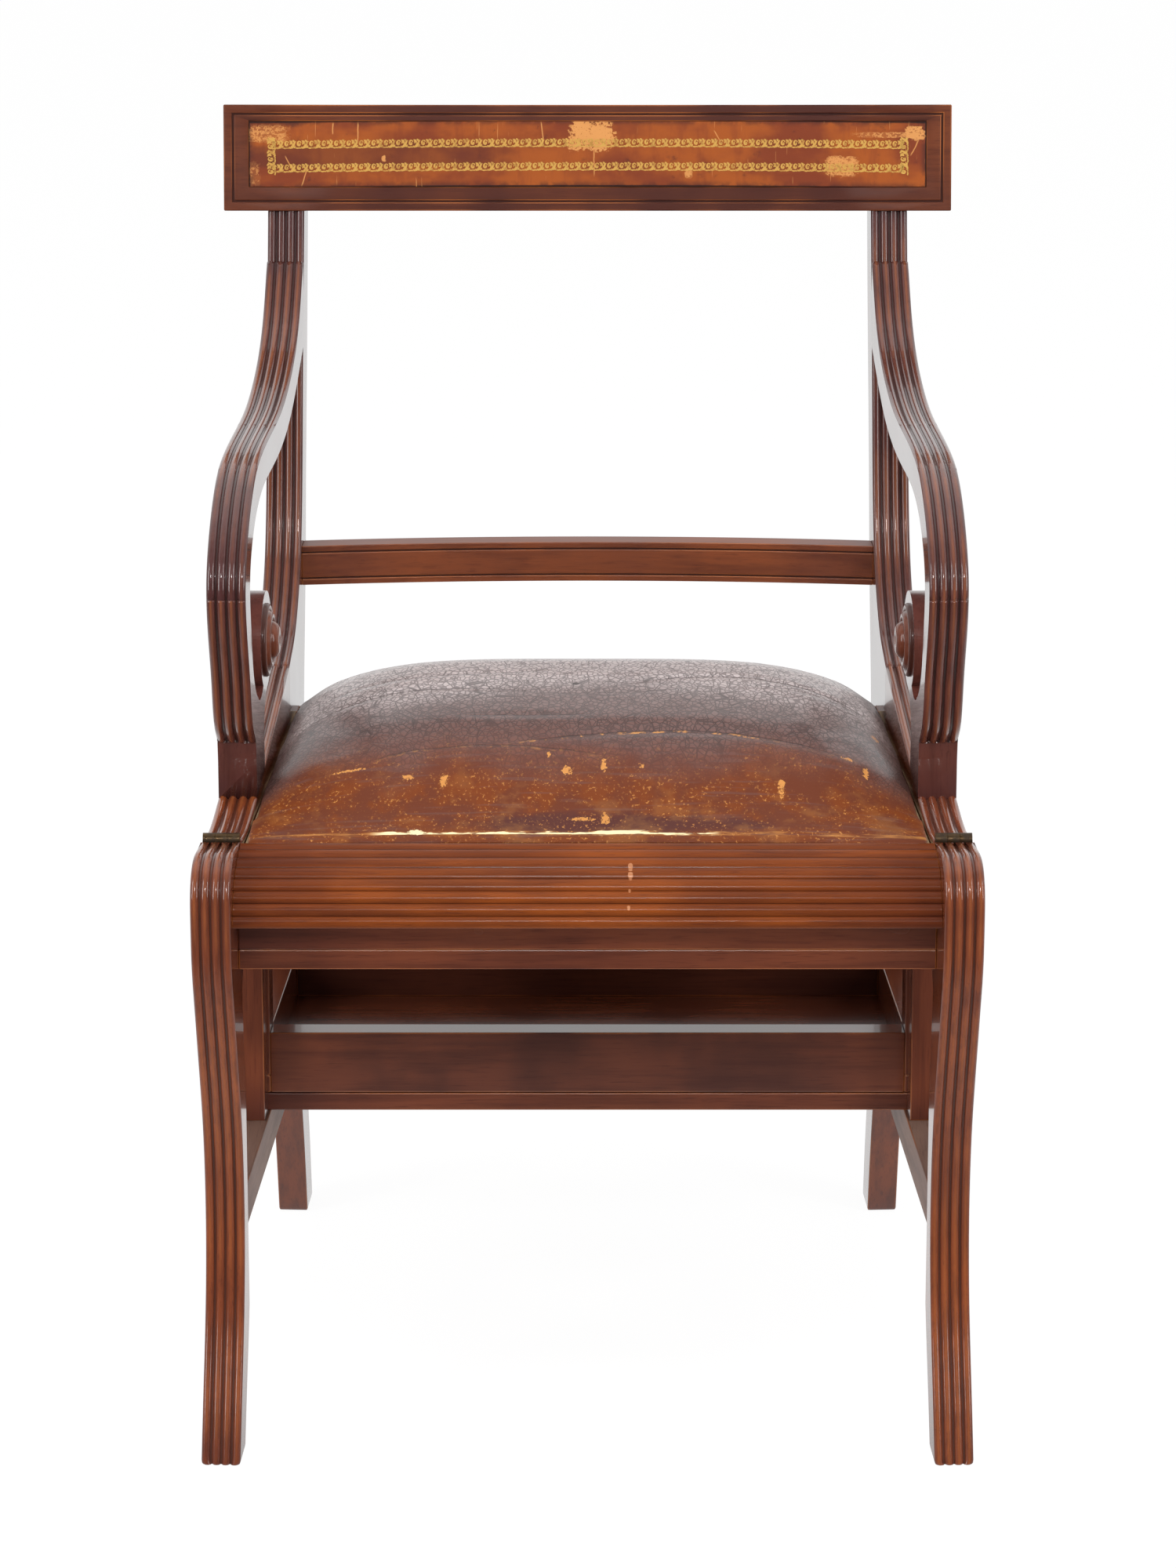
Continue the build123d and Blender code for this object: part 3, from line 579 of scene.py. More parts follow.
        paint.over(mottle.step(0.62, 0.40) * 0.45, self.stain_and_shadow)
        paint.over(drag.step(0.56, 0.66) * 0.35, self.purple)
        # Painted shadow: a dark blot near the front middle of the seat.
        dusk = blot(x + (clouds - 0.5) * 0.2, depth + (mottle - 0.5) * 0.05, *self.shadow)
        paint.over(dusk.step(1.15, 0.25) * 0.9, self.stain_and_shadow)
        paint.over(drift.step(0.19, 0.36) * 0.92, self.purple)
        # Pale bloom and painted sheen over the back of the seat.
        paint.over(drift.step(0.34, 0.66) * 0.85, self.bloom_and_sheen)
        # Painted sheen: a paler reflection laid on the top of the back.
        paint.over(drift.step(0.44, 0.64) * 0.62, self.pale)
        # Pale bloom and painted sheen on the sides of the back.
        side = abs(x).step(0.10, 0.21) * drift.step(0.26, 0.42)
        paint.over(side * mottle.step(0.35, 0.6) * 0.4, self.bloom_and_sheen)

        crackle = paint.cracks((0, 0, 0), 250.0, (1.0, 0.62, 1.0))
        coarse = paint.cracks((3, 0, 0), 95.0, (1.0, 0.75, 1.0))
        lines = (crackle.step(0.17, 0.03) * 0.80).at_least(coarse.step(0.055, 0.015))
        paint.over(lines * old * 0.80, self.crack)
        flecks = grit.step(0.580, 0.650) * drift.step(0.36, 0.14) * mottle.step(0.34, 0.60)
        paint.over(flecks * 0.70, self.scuff)
        paint.over(glow.step(0.52, 0.66) * drift.step(0.30, 0.12) * 0.14, self.scuff)

        fold, lip = self.folds(x, y, (clouds - 0.5) * 0.012 + (mottle - 0.5) * 0.004)
        # Painted shade along the creases.
        paint.over(fold * 0.85, self.crack)
        paint.over((lip * broken.step(0.50, 0.60) * 1.2).at_most(1.0), self.scuff)
        frayed = (grit - 0.5) * 7.0 + (broken - 0.5) * 4.0
        marks = largest(
            (blot(x, y, spot[:2], spot[2:]) + frayed).step(0.95, 0.45) for spot in self.spots
        )
        paint.over(marks * 0.92, self.scuff)
        paint.over(blot(x, y, *self.hole).step(1.1, 0.5), self.crack)

        brink = abs(y - self.brink_y - (worn - 0.5) * 0.006)
        paint.over(brink.step(0.0040, 0.0015) * worn.step(0.44, 0.6) * 0.6, self.scuff)
        bright = abs(x - self.brink_x).step(0.126, 0.112) * worn.step(0.43, 0.50)
        thick = worn.step(0.50, 0.66) * 0.0026 + 0.0010
        bald = (blot(x, y, *self.bald) + (grit - 0.5) * 3.0).step(1.1, 0.6)
        paint.over(((brink / thick).step(1.2, 0.7) * bright).at_least(bald), self.cream)
        relief = 1.0 - lines * old * 0.5 - fold * 0.9 + grit * 0.12 - marks * 0.3
        return paint.close(
            Roughness=0.44 - old * 0.14 + mottle * 0.10,
            Specular_IOR_Level=0.20,
            Coat_Weight=old * 0.42,
            Coat_Roughness=0.22,
            Normal=paint.bump(relief, 0.0008, 0.55),
        )


@dataclass(frozen=True)
class CrestHide:
    """Leather of the crest panel, rubbed pale in patches and scratched."""

    red: Colour = (0.175, 0.034, 0.011)
    orange: Colour = (0.300, 0.070, 0.011)
    rubbed: Colour = (0.58, 0.26, 0.080)
    shade: Colour = (0.055, 0.016, 0.012)
    # Near-black of the painted shadow at the panel's border.
    gap: Colour = (0.012, 0.005, 0.004)
    patches: tuple[tuple[float, float, float, float, float], ...] = (
        (0.0027, 0.0133, 0.0172, 0.0112, 1.0), (-0.2450, 0.0160, 0.0160, 0.0070, 0.55),
        (0.2520, 0.0165, 0.0075, 0.0050, 0.9), (0.2300, 0.0150, 0.0230, 0.0022, 0.55),
        (0.1960, -0.0090, 0.0125, 0.0075, 0.75), (-0.1570, -0.0035, 0.0016, 0.0024, 0.9),
        (0.0780, -0.0150, 0.0030, 0.0036, 0.6), (-0.2560, -0.0150, 0.0040, 0.0100, 0.35),
    )
    scratches: tuple[tuple[float, float, float, float], ...] = (
        (-0.0350, 0.0160, 0.0090, -0.10), (-0.1960, 0.0195, 0.0050, 0.05),
        (-0.1770, 0.0160, 0.0090, 0.02), (-0.2180, -0.0165, 0.0080, 0.35),
        (-0.2300, -0.0060, 0.0060, -0.5), (0.0050, -0.0040, 0.0150, 0.0),
        (0.1000, 0.0130, 0.0050, -0.6), (0.2520, 0.0060, 0.0070, 0.5),
    )

    def material(self, name: str, low: Vector, high: Vector) -> Material:
        """Colour and wear of the crest panel, with painted shade and a painted shadow line at its
        recessed border.

        Args:
            name: The material's name.
            low: Lowest corner of the panel.
            high: Highest corner of the panel.

        Returns:
            The material.
        """
        paint = Paint(name, self.red)
        x, _, z = paint.axes(paint.place())
        up = z - (low.z + high.z) / 2
        clouds = paint.noise((1, 2, 3), 15.0, 4.0, 0.55, (1.0, 1.0, 1.6))
        smears = paint.noise((6, 2, 3), 1.0, 4.0, 0.6, (90.0, 20.0, 22.0))
        mottle = paint.noise((4, 2, 3), 85.0, 4.0, 0.6)
        grit = paint.noise((8, 2, 3), 620.0, 3.0, 0.6, (1.0, 1.0, 0.7))
        fibres = paint.noise((2, 7, 5), 1.0, 4.0, 0.7, (330.0, 100.0, 420.0))
        hair = paint.noise((3, 1, 1), 1.0, 2.0, 0.5, (700.0, 60.0, 34.0))
        paint.over(clouds.step(0.39, 0.61), self.orange)
        paint.over(smears.step(0.50, 0.68) * 0.45, self.red)
        paint.over(mottle.step(0.60, 0.76) * 0.65, self.shade)
        inside = abs(up + 0.001).step(0.010, 0.006) * (x + (clouds - 0.5) * 0.3).step(0.02, -0.12)
        paint.over(inside * 0.45, self.shade)
        rim = abs(up).step(0.0195, 0.0248).at_least(abs(x).step(high.x - 0.006, high.x - 0.0005))
        paint.over(rim * mottle.step(0.36, 0.56) * 0.7, self.shade)
        # Painted shadow: a near-black line along the panel's border, where the leather meets the
        # frame's recess.
        edge = abs(x).step(high.x - 0.0012, high.x - 0.0004)
        paint.over(abs(up).step(0.0236, 0.0246).at_least(edge) * 0.9, self.gap)

        bare = []
        for across, height, half_width, half_height, share in self.patches:
            right = (x - across) / half_width
            rise = (up - height) / half_height
            off = right ** 4.0 + rise ** 4.0 + (mottle - 0.5) * 3.0 + (fibres - 0.5) * 6.0
            torn = fibres.step(0.62 - share * 0.30, 0.70 - share * 0.30) * 0.7 + share * 0.3
            bare.append(off.step(1.15, 0.65) * torn)
        for across, height, half_length, lean in self.scratches:
            rise = up - height
            off = abs(x - across - rise * lean - (mottle - 0.5) * 0.0016)
            line = off.step(0.00065, 0.00025) * abs(rise).step(half_length, half_length * 0.6)
            bare.append(line * 0.8)
        rubbed = largest([*bare, hair.step(0.70, 0.74) * 0.5])
        paint.over(rubbed * 0.95, self.rubbed)
        return paint.close(
            Roughness=rubbed * 0.25 + mottle * 0.1 + 0.40,
            Specular_IOR_Level=0.15,
            Normal=paint.bump(grit * 0.4 - rubbed * 0.5 + 0.5, 0.0004, 0.6),
        )


@dataclass(frozen=True)
class Gilt:
    """Old gold leaf in the tooled band."""

    gold: Colour = (0.52, 0.285, 0.048)
    worn: Colour = (0.30, 0.12, 0.02)

    def material(self, name: str) -> Material:
        """Gold leaf with thin places."""
        paint = Paint(name, self.gold)
        thin = paint.noise((2, 2, 2), 300.0, 4.0, 0.6).step(0.5, 0.62)
        paint.over(thin * 0.6, self.worn)
        return paint.close(Metallic=0.15, Roughness=0.42 + thin * 0.2)


def put(name: str, content: Any) -> Piece:
    """Put a mesh, a lamp or a camera in the scene as an object at the origin."""
    made = bpy.data.objects.new(name, content)
    bpy.context.scene.collection.objects.link(made)
    return made


def cast(shape: Shape, name: str) -> Piece:
    """Turn a shape into a piece of that name, and free it."""
    mesh = bpy.data.meshes.new(name)
    shape.to_mesh(mesh)
    shape.free()
    return put(name, mesh)


def shade(mesh: Mesh, angle: float) -> None:
    """Shade a mesh smooth up to an angle between its faces."""
    mesh.polygons.foreach_set("use_smooth", np.ones(len(mesh.polygons), bool))
    mesh.set_sharp_from_angle(angle=math.radians(angle))


def clad(piece: Piece, material: Material, node: str) -> None:
    """Give a piece its finish and its body, and hide the CAD node that it stands for.

    Args:
        piece: The finished piece.
        material: Its finish.
        node: The CAD node that it replaces.
    """
    piece.data.materials.clear()
    piece.data.materials.append(material)
    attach(piece, BODY_OF[node])
    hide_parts(node)


def dress(node: Piece, material: Material) -> None:
    """Give a CAD node that stays its finish."""
    for slot in node.material_slots:
        slot.material = material
    if not node.material_slots:
        node.data.materials.append(material)


def dressed(
    shape: Shape, node: str, ending: str, angle: float, finish: Mahogany, grain: Grain
) -> Piece:
    """Make a finished wooden piece from its shape.

    Args:
        shape: The piece's shape, which is freed.
        node: The CAD node that it replaces.
        ending: What its name adds to the node's.
        angle: Angle in degrees up to which it is shaded smooth.
        finish: Its finish.
        grain: Direction of its grain.

    Returns:
        The piece.
    """
    piece = cast(shape, node + ending)
    shade(piece.data, angle)
    clad(piece, finish.material(node, grain), node)
    return piece


def merged(node: str, weld: float = 2e-6) -> Shape:
    """A closed copy of a CAD node's mesh."""
    shape = bmesh.new()
    shape.from_mesh(frame["nodes"][node].data)
    bmesh.ops.remove_doubles(shape, verts=shape.verts, dist=weld)
    bmesh.ops.dissolve_degenerate(shape, edges=shape.edges, dist=weld / 2)
    return shape


def soften_foot(shape: Shape, radius: float = 0.003) -> None:
    """Round the arris round the foot of a leg that stands on the floor.

    Args:
        shape: The leg's mesh.
        radius: Height and depth of the rounding.
    """
    for height in (0.15, 0.4, 1.0):
        bmesh.ops.bisect_plane(
            shape,
            geom=[*shape.faces, *shape.edges, *shape.verts],
            dist=HAIR,
            plane_co=(0, 0, radius * height),
            plane_no=(0, 0, 1),
        )
    foot = [vert for vert in shape.verts if vert.co.z < radius * 0.999]
    middle = sum((vert.co for vert in foot), Vector()) / len(foot)
    reach = max((vert.co - middle).length for vert in foot) * 0.8
    for vert in foot:
        lift = 1 - max(vert.co.z, 0.0) / radius
        share = 1 - radius * (1 - math.sqrt(1 - lift * lift)) / reach
        vert.co.x = middle.x + (vert.co.x - middle.x) * share
        vert.co.y = middle.y + (vert.co.y - middle.y) * share


@dataclass
class ReededMember:
    """A member of the side frames whose square-cut reeds are rounded over."""

    node: str
    side: Side
    grain: Grain
    finish: Mahogany
    reed_count: int = 4
    groove_width: float = 0.0014
    crown: float = 0.0019
    cuts: int = 7
    rim: float = 0.95
    glaze_start: float = 0.74
    rubbed_and_lit_width: float = 0.55
    joint_y: float = 0.10012
    joint_rise: float = 0.2285
    joint_reach: float = 0.012
    sink_depth: float = 0.0022
    on_floor: float = 1e-5
    wall_tilt: float = 0.9
    wall_slack: float = 6e-5
    side_tilt: float = 0.3
    smooth_turn: float = 0.88
    same_way: float = 0.75
    groove_reach: float = 0.02
    end_tilt: float = 0.95
    touching: float = 1e-4
    smooth_angle: float = 30.0
    flat_share: float = 0.998

    def __post_init__(self) -> None:
        """Work out the reeds' pitch and the direction across the frame."""
        self.reed = (FRAME_THICKNESS - (self.reed_count - 1) * self.groove_width) / self.reed_count
        self.pitch = self.reed + self.groove_width
        self.outward = Vector((self.side.value * math.cos(TOE_IN), math.sin(TOE_IN), 0))
        self.corner = Vector((self.side.value * FRAME_HALF_WIDTH, FRAME_FRONT, 0))
        self.run = Vector((-self.outward.y * self.side.value, abs(self.outward.x), 0))

    def inset(self, point: Vector) -> float:
        """Distance of a point inwards from the frame's outer face."""
        return (self.corner - point).dot(self.outward)

    def reed_share(self, point: Vector) -> float:
        """Place across the nearest reed, from -1 to 1, and beyond that in a groove."""
        depth = self.inset(point)
        index = min(max(round((depth - self.reed / 2) / self.pitch), 0), self.reed_count - 1)
        return (depth - index * self.pitch - self.reed / 2) / (self.reed / 2)

    def is_wall(self, face: Face) -> bool:
        """Whether a face is a wall of a groove."""
        if abs(face.normal.dot(self.outward)) < self.wall_tilt:
            return False
        depth = self.inset(face.calc_center_median())
        starts = [index * self.pitch for index in range(self.reed_count)]
        edges = [start + end for start in starts for end in (0, self.reed)]
        return any(abs(depth - edge) < self.wall_slack for edge in edges[1:-1])

    def spread(self, seeds: set[Face], walls: set[Face]) -> set[Face]:
        """Grow a set of faces over their smooth neighbours.

        Args:
            seeds: First faces.
            walls: Faces that are never entered.

        Returns:
            The grown set.
        """
        found = set(seeds)
        queue = list(seeds)
        while queue:
            face = queue.pop()
            for other in {other for edge in face.edges for other in edge.link_faces}:
                sideways = abs(other.normal.dot(self.outward)) > self.side_tilt
                if other in found or other in walls or sideways:
                    continue
                if face.normal.dot(other.normal) > self.smooth_turn:
                    found.add(other)
                    queue.append(other)
        return found

    def sort_faces(self, shape: Shape) -> tuple[set[Face], set[Face]]:
        """Find the tops of the reeds and the insides of the grooves.

        Args:
            shape: The member's merged mesh.

        Returns:
            The faces on top of the reeds, and the faces inside the grooves.
        """
        walls = {face for face in shape.faces if self.is_wall(face)}
        hollow = []
        proud = []
        for face in walls:
            for edge in face.edges:
                others = [other for other in edge.link_faces if other not in walls]
                if len(edge.link_faces) != 2 or not others:
                    continue
                here, there = (vert.co for vert in edge.verts)
                found = ((here + there) / 2, (there - here).normalized(), others[0])
                (proud if edge.is_convex else hollow).append(found)
        if not hollow:
            return set(), set()
        tree = kdtree.KDTree(len(hollow))
        for index, (middle, _, _) in enumerate(hollow):
            tree.insert(middle, index)
        tree.balance()
        tops = set()
        for middle, run, other in proud:
            _, index, gap = tree.find(middle)
            if abs(run.dot(hollow[index][1])) > self.same_way and gap < self.groove_reach:
                tops.add(other)
        tops = self.spread(tops, walls)
        floors = self.spread({other for _, _, other in hollow}, walls) - tops
        return tops, walls | floors

    def carry_on(self, shape: Shape) -> None:
        """Carry the side rail's sloping rear end on to the upright end of the post.

        Args:
            shape: The rail's mesh.
        """
        nearest = self.joint_y - self.joint_reach
        facing = [face for face in shape.faces if face.normal.dot(self.run) > self.end_tilt]
        ends = [face for face in facing if face.calc_center_median().y > nearest]
        for vert in {vert for face in ends for vert in face.verts}:
            short = self.joint_y - vert.co.y
            vert.co += (self.run / self.run.y + Vector((0, 0, self.joint_rise))) * short

    def sink(self, shape: Shape, host: str, way: Vector) -> None:
        """Sink a joint face into its neighbour, whose reeds are rounded away from it.

        Args:
            shape: The member's mesh.
            host: CAD node of the neighbour.
            way: Direction and depth of the sinking.
        """
        neighbour = merged(host)
        surface = BVHTree.FromBMesh(neighbour)
        for vert in shape.verts:
            if surface.find_nearest(vert.co)[3] < self.touching:
                vert.co += way
        neighbour.free()

    def slice_tops(self, shape: Shape, mark: Any) -> None:
        """Cut the tops of the reeds lengthwise, so that they can be rounded.

        Args:
            shape: The member's mesh.
            mark: The layer in which they are marked.
        """
        for index in range(self.reed_count):
            for cut in range(self.cuts):
                depth = index * self.pitch + self.reed * (cut + 1) / (self.cuts + 1)
                faces = [face for face in shape.faces if face[mark] == REED_TOP]
                edges = {edge for face in faces for edge in face.edges}
                verts = {vert for face in faces for vert in face.verts}
                bmesh.ops.bisect_plane(
                    shape,
                    geom=[*faces, *edges, *verts],
                    dist=HAIR,
                    plane_co=self.corner - self.outward * depth,
                    plane_no=self.outward,
                )

    def round_over(self, shape: Shape) -> None:
        """Round the reeds and mark their grooves.

        Args:
            shape: The member's mesh.
        """
        mark = shape.faces.layers.int.new("reed")
        glaze = shape.loops.layers.float.new("glaze")
        arris = shape.loops.layers.float.new("arris")
        shape.normal_update()
        for faces, kind in zip(self.sort_faces(shape), (REED_TOP, GROOVE)):
            for face in faces:
                face[mark] = kind
        self.slice_tops(shape, mark)
        normals = {}
        for face in shape.faces:
            if face[mark] == REED_TOP:
                for vert in face.verts:
                    normals[vert] = normals.get(vert, Vector()) + face.normal * face.calc_area()
        deepest = 1 - math.sqrt(1 - self.rim * self.rim)
        for vert, normal in normals.items():
            inwards = normal - self.outward * normal.dot(self.outward)
            share = min(abs(self.reed_share(vert.co)), 1.0) * self.rim
            drop = (1 - math.sqrt(1 - share * share)) / deepest
            normals[vert] = -inwards.normalized() * drop * self.crown
        for vert, move in normals.items():
            if vert.co.z < self.on_floor:
                move.z = 0.0
            vert.co += move
        bmesh.ops.triangulate(shape, faces=[face for face in shape.faces if len(face.verts) > 4])
        shape.normal_update()
        for face in shape.faces:
            for loop in face.loops:
                share = abs(self.reed_share(loop.vert.co))
                # Dark polish and painted shade: full in the grooves, and growing on each reed's top
                # towards its edges.
                if face[mark] == GROOVE:
                    loop[glaze] = 1.0
                elif face[mark] == REED_TOP:
                    low = (share - self.glaze_start) / (1 - self.glaze_start)
                    loop[glaze] = min(max(low, 0.0), 1.0) ** 1.5 * 0.7
                    # Rubbed wear and painted highlight on the middle of each reed's crown.
                    loop[arris] = max(self.rubbed_and_lit_width - share, 0.0)

    def build(self) -> Piece:
        """Make the member with rounded reeds in place of its CAD node."""
        shape = merged(self.node)
        if self.node.startswith("side_rail"):
            self.carry_on(shape)
        self.round_over(shape)
        side = self.side.name.lower()
        if self.node == f"arm_{side}":
            self.sink(shape, f"back_post_{side}", self.run * self.sink_depth)
        if self.node == f"arm_support_{side}":
            self.sink(shape, f"side_rail_{side}", Vector((0, 0, -self.sink_depth)))
        if self.node.startswith("front_leg"):
            soften_foot(shape)
        piece = dressed(
            shape, self.node, "_reeded", self.smooth_angle, self.finish, self.grain
        )
        for face in piece.data.polygons:
            if abs(face.normal.dot(self.outward)) > self.flat_share:
                face.use_smooth = False
        return piece


@dataclass
class PlainMember:
    """A board, rail or block with its arrises eased."""

    node: str
    grain: Grain
    finish: Mahogany
    ease: float = 0.0009
    narrow: float = 0.003
    level_angle: float = math.radians(0.05)
    corner_angle: float = math.radians(35)
    smooth_angle: float = 20.0

    def build(self) -> Piece:
        """Make the member with eased arrises in place of its CAD node."""
        shape = merged(self.node)
        bmesh.ops.dissolve_limit(
            shape, angle_limit=self.level_angle, verts=shape.verts, edges=shape.edges
        )
        glaze = shape.loops.layers.float.new("glaze")
        arris = shape.loops.layers.float.new("arris")
        shape.normal_update()
        corners = [
            edge
            for edge in shape.edges
            if len(edge.link_faces) == 2 and edge.calc_face_angle(0.0) > self.corner_angle
        ]
        sharp = [edge for edge in corners if edge.is_convex]
        hollows = {vert for edge in corners if not edge.is_convex for vert in edge.verts}
        # Dark polish and painted shade in the hollow corners of narrow faces.
        for face in shape.faces:
            length = max(edge.calc_length() for edge in face.edges)
            if face.calc_area() / length < self.narrow:
                for loop in face.loops:
                    if loop.vert in hollows:
                        loop[glaze] = 1.0
        made = bmesh.ops.bevel(
            shape,
            geom=sharp,
            offset=self.ease,
            segments=2,
            profile=0.5,
            affect="EDGES",
            clamp_overlap=True,
        )
        # Rubbed wear and painted highlight on the eased arrises.
        for face in made["faces"]:
            for loop in face.loops:
                loop[arris] = 1.0
        shape.normal_update()
        if self.node.startswith("rear_leg_lower"):
            soften_foot(shape)
        return dressed(shape, self.node, "_eased", self.smooth_angle, self.finish, self.grain)


@dataclass
class SideFrames:
    """Both side frames: front legs, rails, posts, arms and their scroll supports."""

    members: tuple[tuple[str, Grain, Mahogany], ...] = (
        ("front_leg", Grain.UPRIGHT, LEGS),
        ("side_rail", Grain.DEPTH, LEGS),
        ("back_post", Grain.UPRIGHT, ARMS),
        ("arm", Grain.DEPTH, ARMS),
        ("arm_support", Grain.UPRIGHT, ARMS),
    )

    def build(self) -> list[Piece]:
        """Make every reeded member of both frames."""
        return [
            ReededMember(f"{name}_{side.name.lower()}", side, grain, finish).build()
            for name, grain, finish in self.members
            for side in Side
        ]


@dataclass
class StepWork:
    """Treads, tray, posts and rails: the plain members."""

    common: Mahogany = Mahogany()
    across: dict[str, Optional[Mahogany]] = field(
        default_factory=lambda: {
            "tread_first": None,
            "tread_second": None,
            "tread_third": None,
            "tread_fourth": None,
            "front_fascia": None,
            "front_rail": RAIL,
            "lower_rear_rail": INNER_SHADE,
            "tray_front_apron": APRON,
            "tray_rear_apron": INNER_SHADE,
            "seat_rear_rail": None,
            "cross_rail": CROSS,
            "crest_rail": CREST,
        }
    )
    paired: tuple[tuple[str, Grain, Optional[Mahogany]], ...] = (
        ("side_stretcher", Grain.DEPTH, DRY),
        ("tray_side_apron", Grain.DEPTH, None),
        ("mid_post", Grain.UPRIGHT, None),
        ("folding_mid_post", Grain.UPRIGHT, None),
        ("rear_leg_lower", Grain.UPRIGHT, LEGS),
        ("rear_leg_upper", Grain.UPRIGHT, LEGS),
    )

    def build(self) -> list[Piece]:
        """Make every plain member."""
        members = [(node, Grain.ACROSS, finish) for node, finish in self.across.items()]
        for name, grain, finish in self.paired:
            members += [(f"{name}_{side.name.lower()}", grain, finish) for side in Side]
        return [PlainMember(node, way, wood or self.common).build() for node, way, wood in members]


@dataclass
class Rosettes:
    """Turned rosettes on both faces of each volute."""

    finish: Mahogany = Mahogany()
    profile: tuple[Place, ...] = (
        (0.0270, -0.0004), (0.0270, 0.0012), (0.0262, 0.0024), (0.0248, 0.0030),
        (0.0234, 0.0026), (0.0224, 0.0018), (0.0214, 0.0022), (0.0206, 0.0038),
        (0.0190, 0.0052), (0.0172, 0.0054), (0.0160, 0.0044), (0.0150, 0.0030),
        (0.0142, 0.0034), (0.0134, 0.0060), (0.0118, 0.0084), (0.0092, 0.0098),
        (0.0060, 0.0104), (0.0036, 0.0100), (0.0022, 0.0092), (0.0, 0.0090),
    )
    hollows: tuple[float, ...] = (0.0224, 0.0150, 0.0270)
    hollow_width: float = 0.0009
    hollow_glaze: float = 0.9
    segments: int = 56
    smooth_angle: float = 50.0

    def turn(self, shape: Shape, centre: Vector, axis: Vector) -> None:
        """Turn one rosette.

        Args:
            shape: The mesh that it is added to.
            centre: Middle of its seat on the volute.
            axis: Direction in which it stands out.
        """
        first = Vector((0, 0, 1))
        second = axis.cross(first)
        turns = [2 * math.pi * index / self.segments for index in range(self.segments)]
        spokes = [first * math.cos(turn) + second * math.sin(turn) for turn in turns]
        rings = [
            [shape.verts.new(centre + spoke * radius + axis * height) for spoke in spokes]
            for radius, height in self.profile[:-1]
        ]
        tip = shape.verts.new(centre + axis * self.profile[-1][1])
        for index in range(self.segments):
            after = (index + 1) % self.segments
            for low, high in zip(rings, rings[1:]):
                shape.faces.new((low[index], low[after], high[after], high[index]))
            shape.faces.new((rings[-1][index], rings[-1][after], tip))
        shape.faces.new(rings[0][::-1])

    def pair(self, node: str, side: Side) -> Piece:
        """Make both rosettes of one arm.

        Args:
            node: The CAD node of the rosettes.
            side: The side of the chair.

        Returns:
            The piece.
        """
        frame_side = ReededMember(node, side, Grain.UPRIGHT, self.finish)
        outward = frame_side.outward
        low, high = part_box(node)
        middle = (low + high) / 2
        shape = bmesh.new()
        for level, facing in ((0.0, 1), (FRAME_THICKNESS, -1)):
            centre = middle - outward * (level - frame_side.inset(middle))
            self.turn(shape, centre, outward * facing)
        bmesh.ops.recalc_face_normals(shape, faces=shape.faces)
        glaze = shape.loops.layers.float.new("glaze")
        # Dark polish and painted shade in the rosettes' turned hollows.
        for face in shape.faces:
            for loop in face.loops:
                off = loop.vert.co - middle
                radius = (off - outward * off.dot(outward)).length
                if min(abs(radius - hollow) for hollow in self.hollows) < self.hollow_width:
                    loop[glaze] = self.hollow_glaze
        return dressed(shape, node, "_turned", self.smooth_angle, self.finish, Grain.UPRIGHT)

    def build(self) -> list[Piece]:
        """Turn the rosettes of both arms."""
        return [self.pair(f"arm_rosettes_{side.name.lower()}", side) for side in Side]


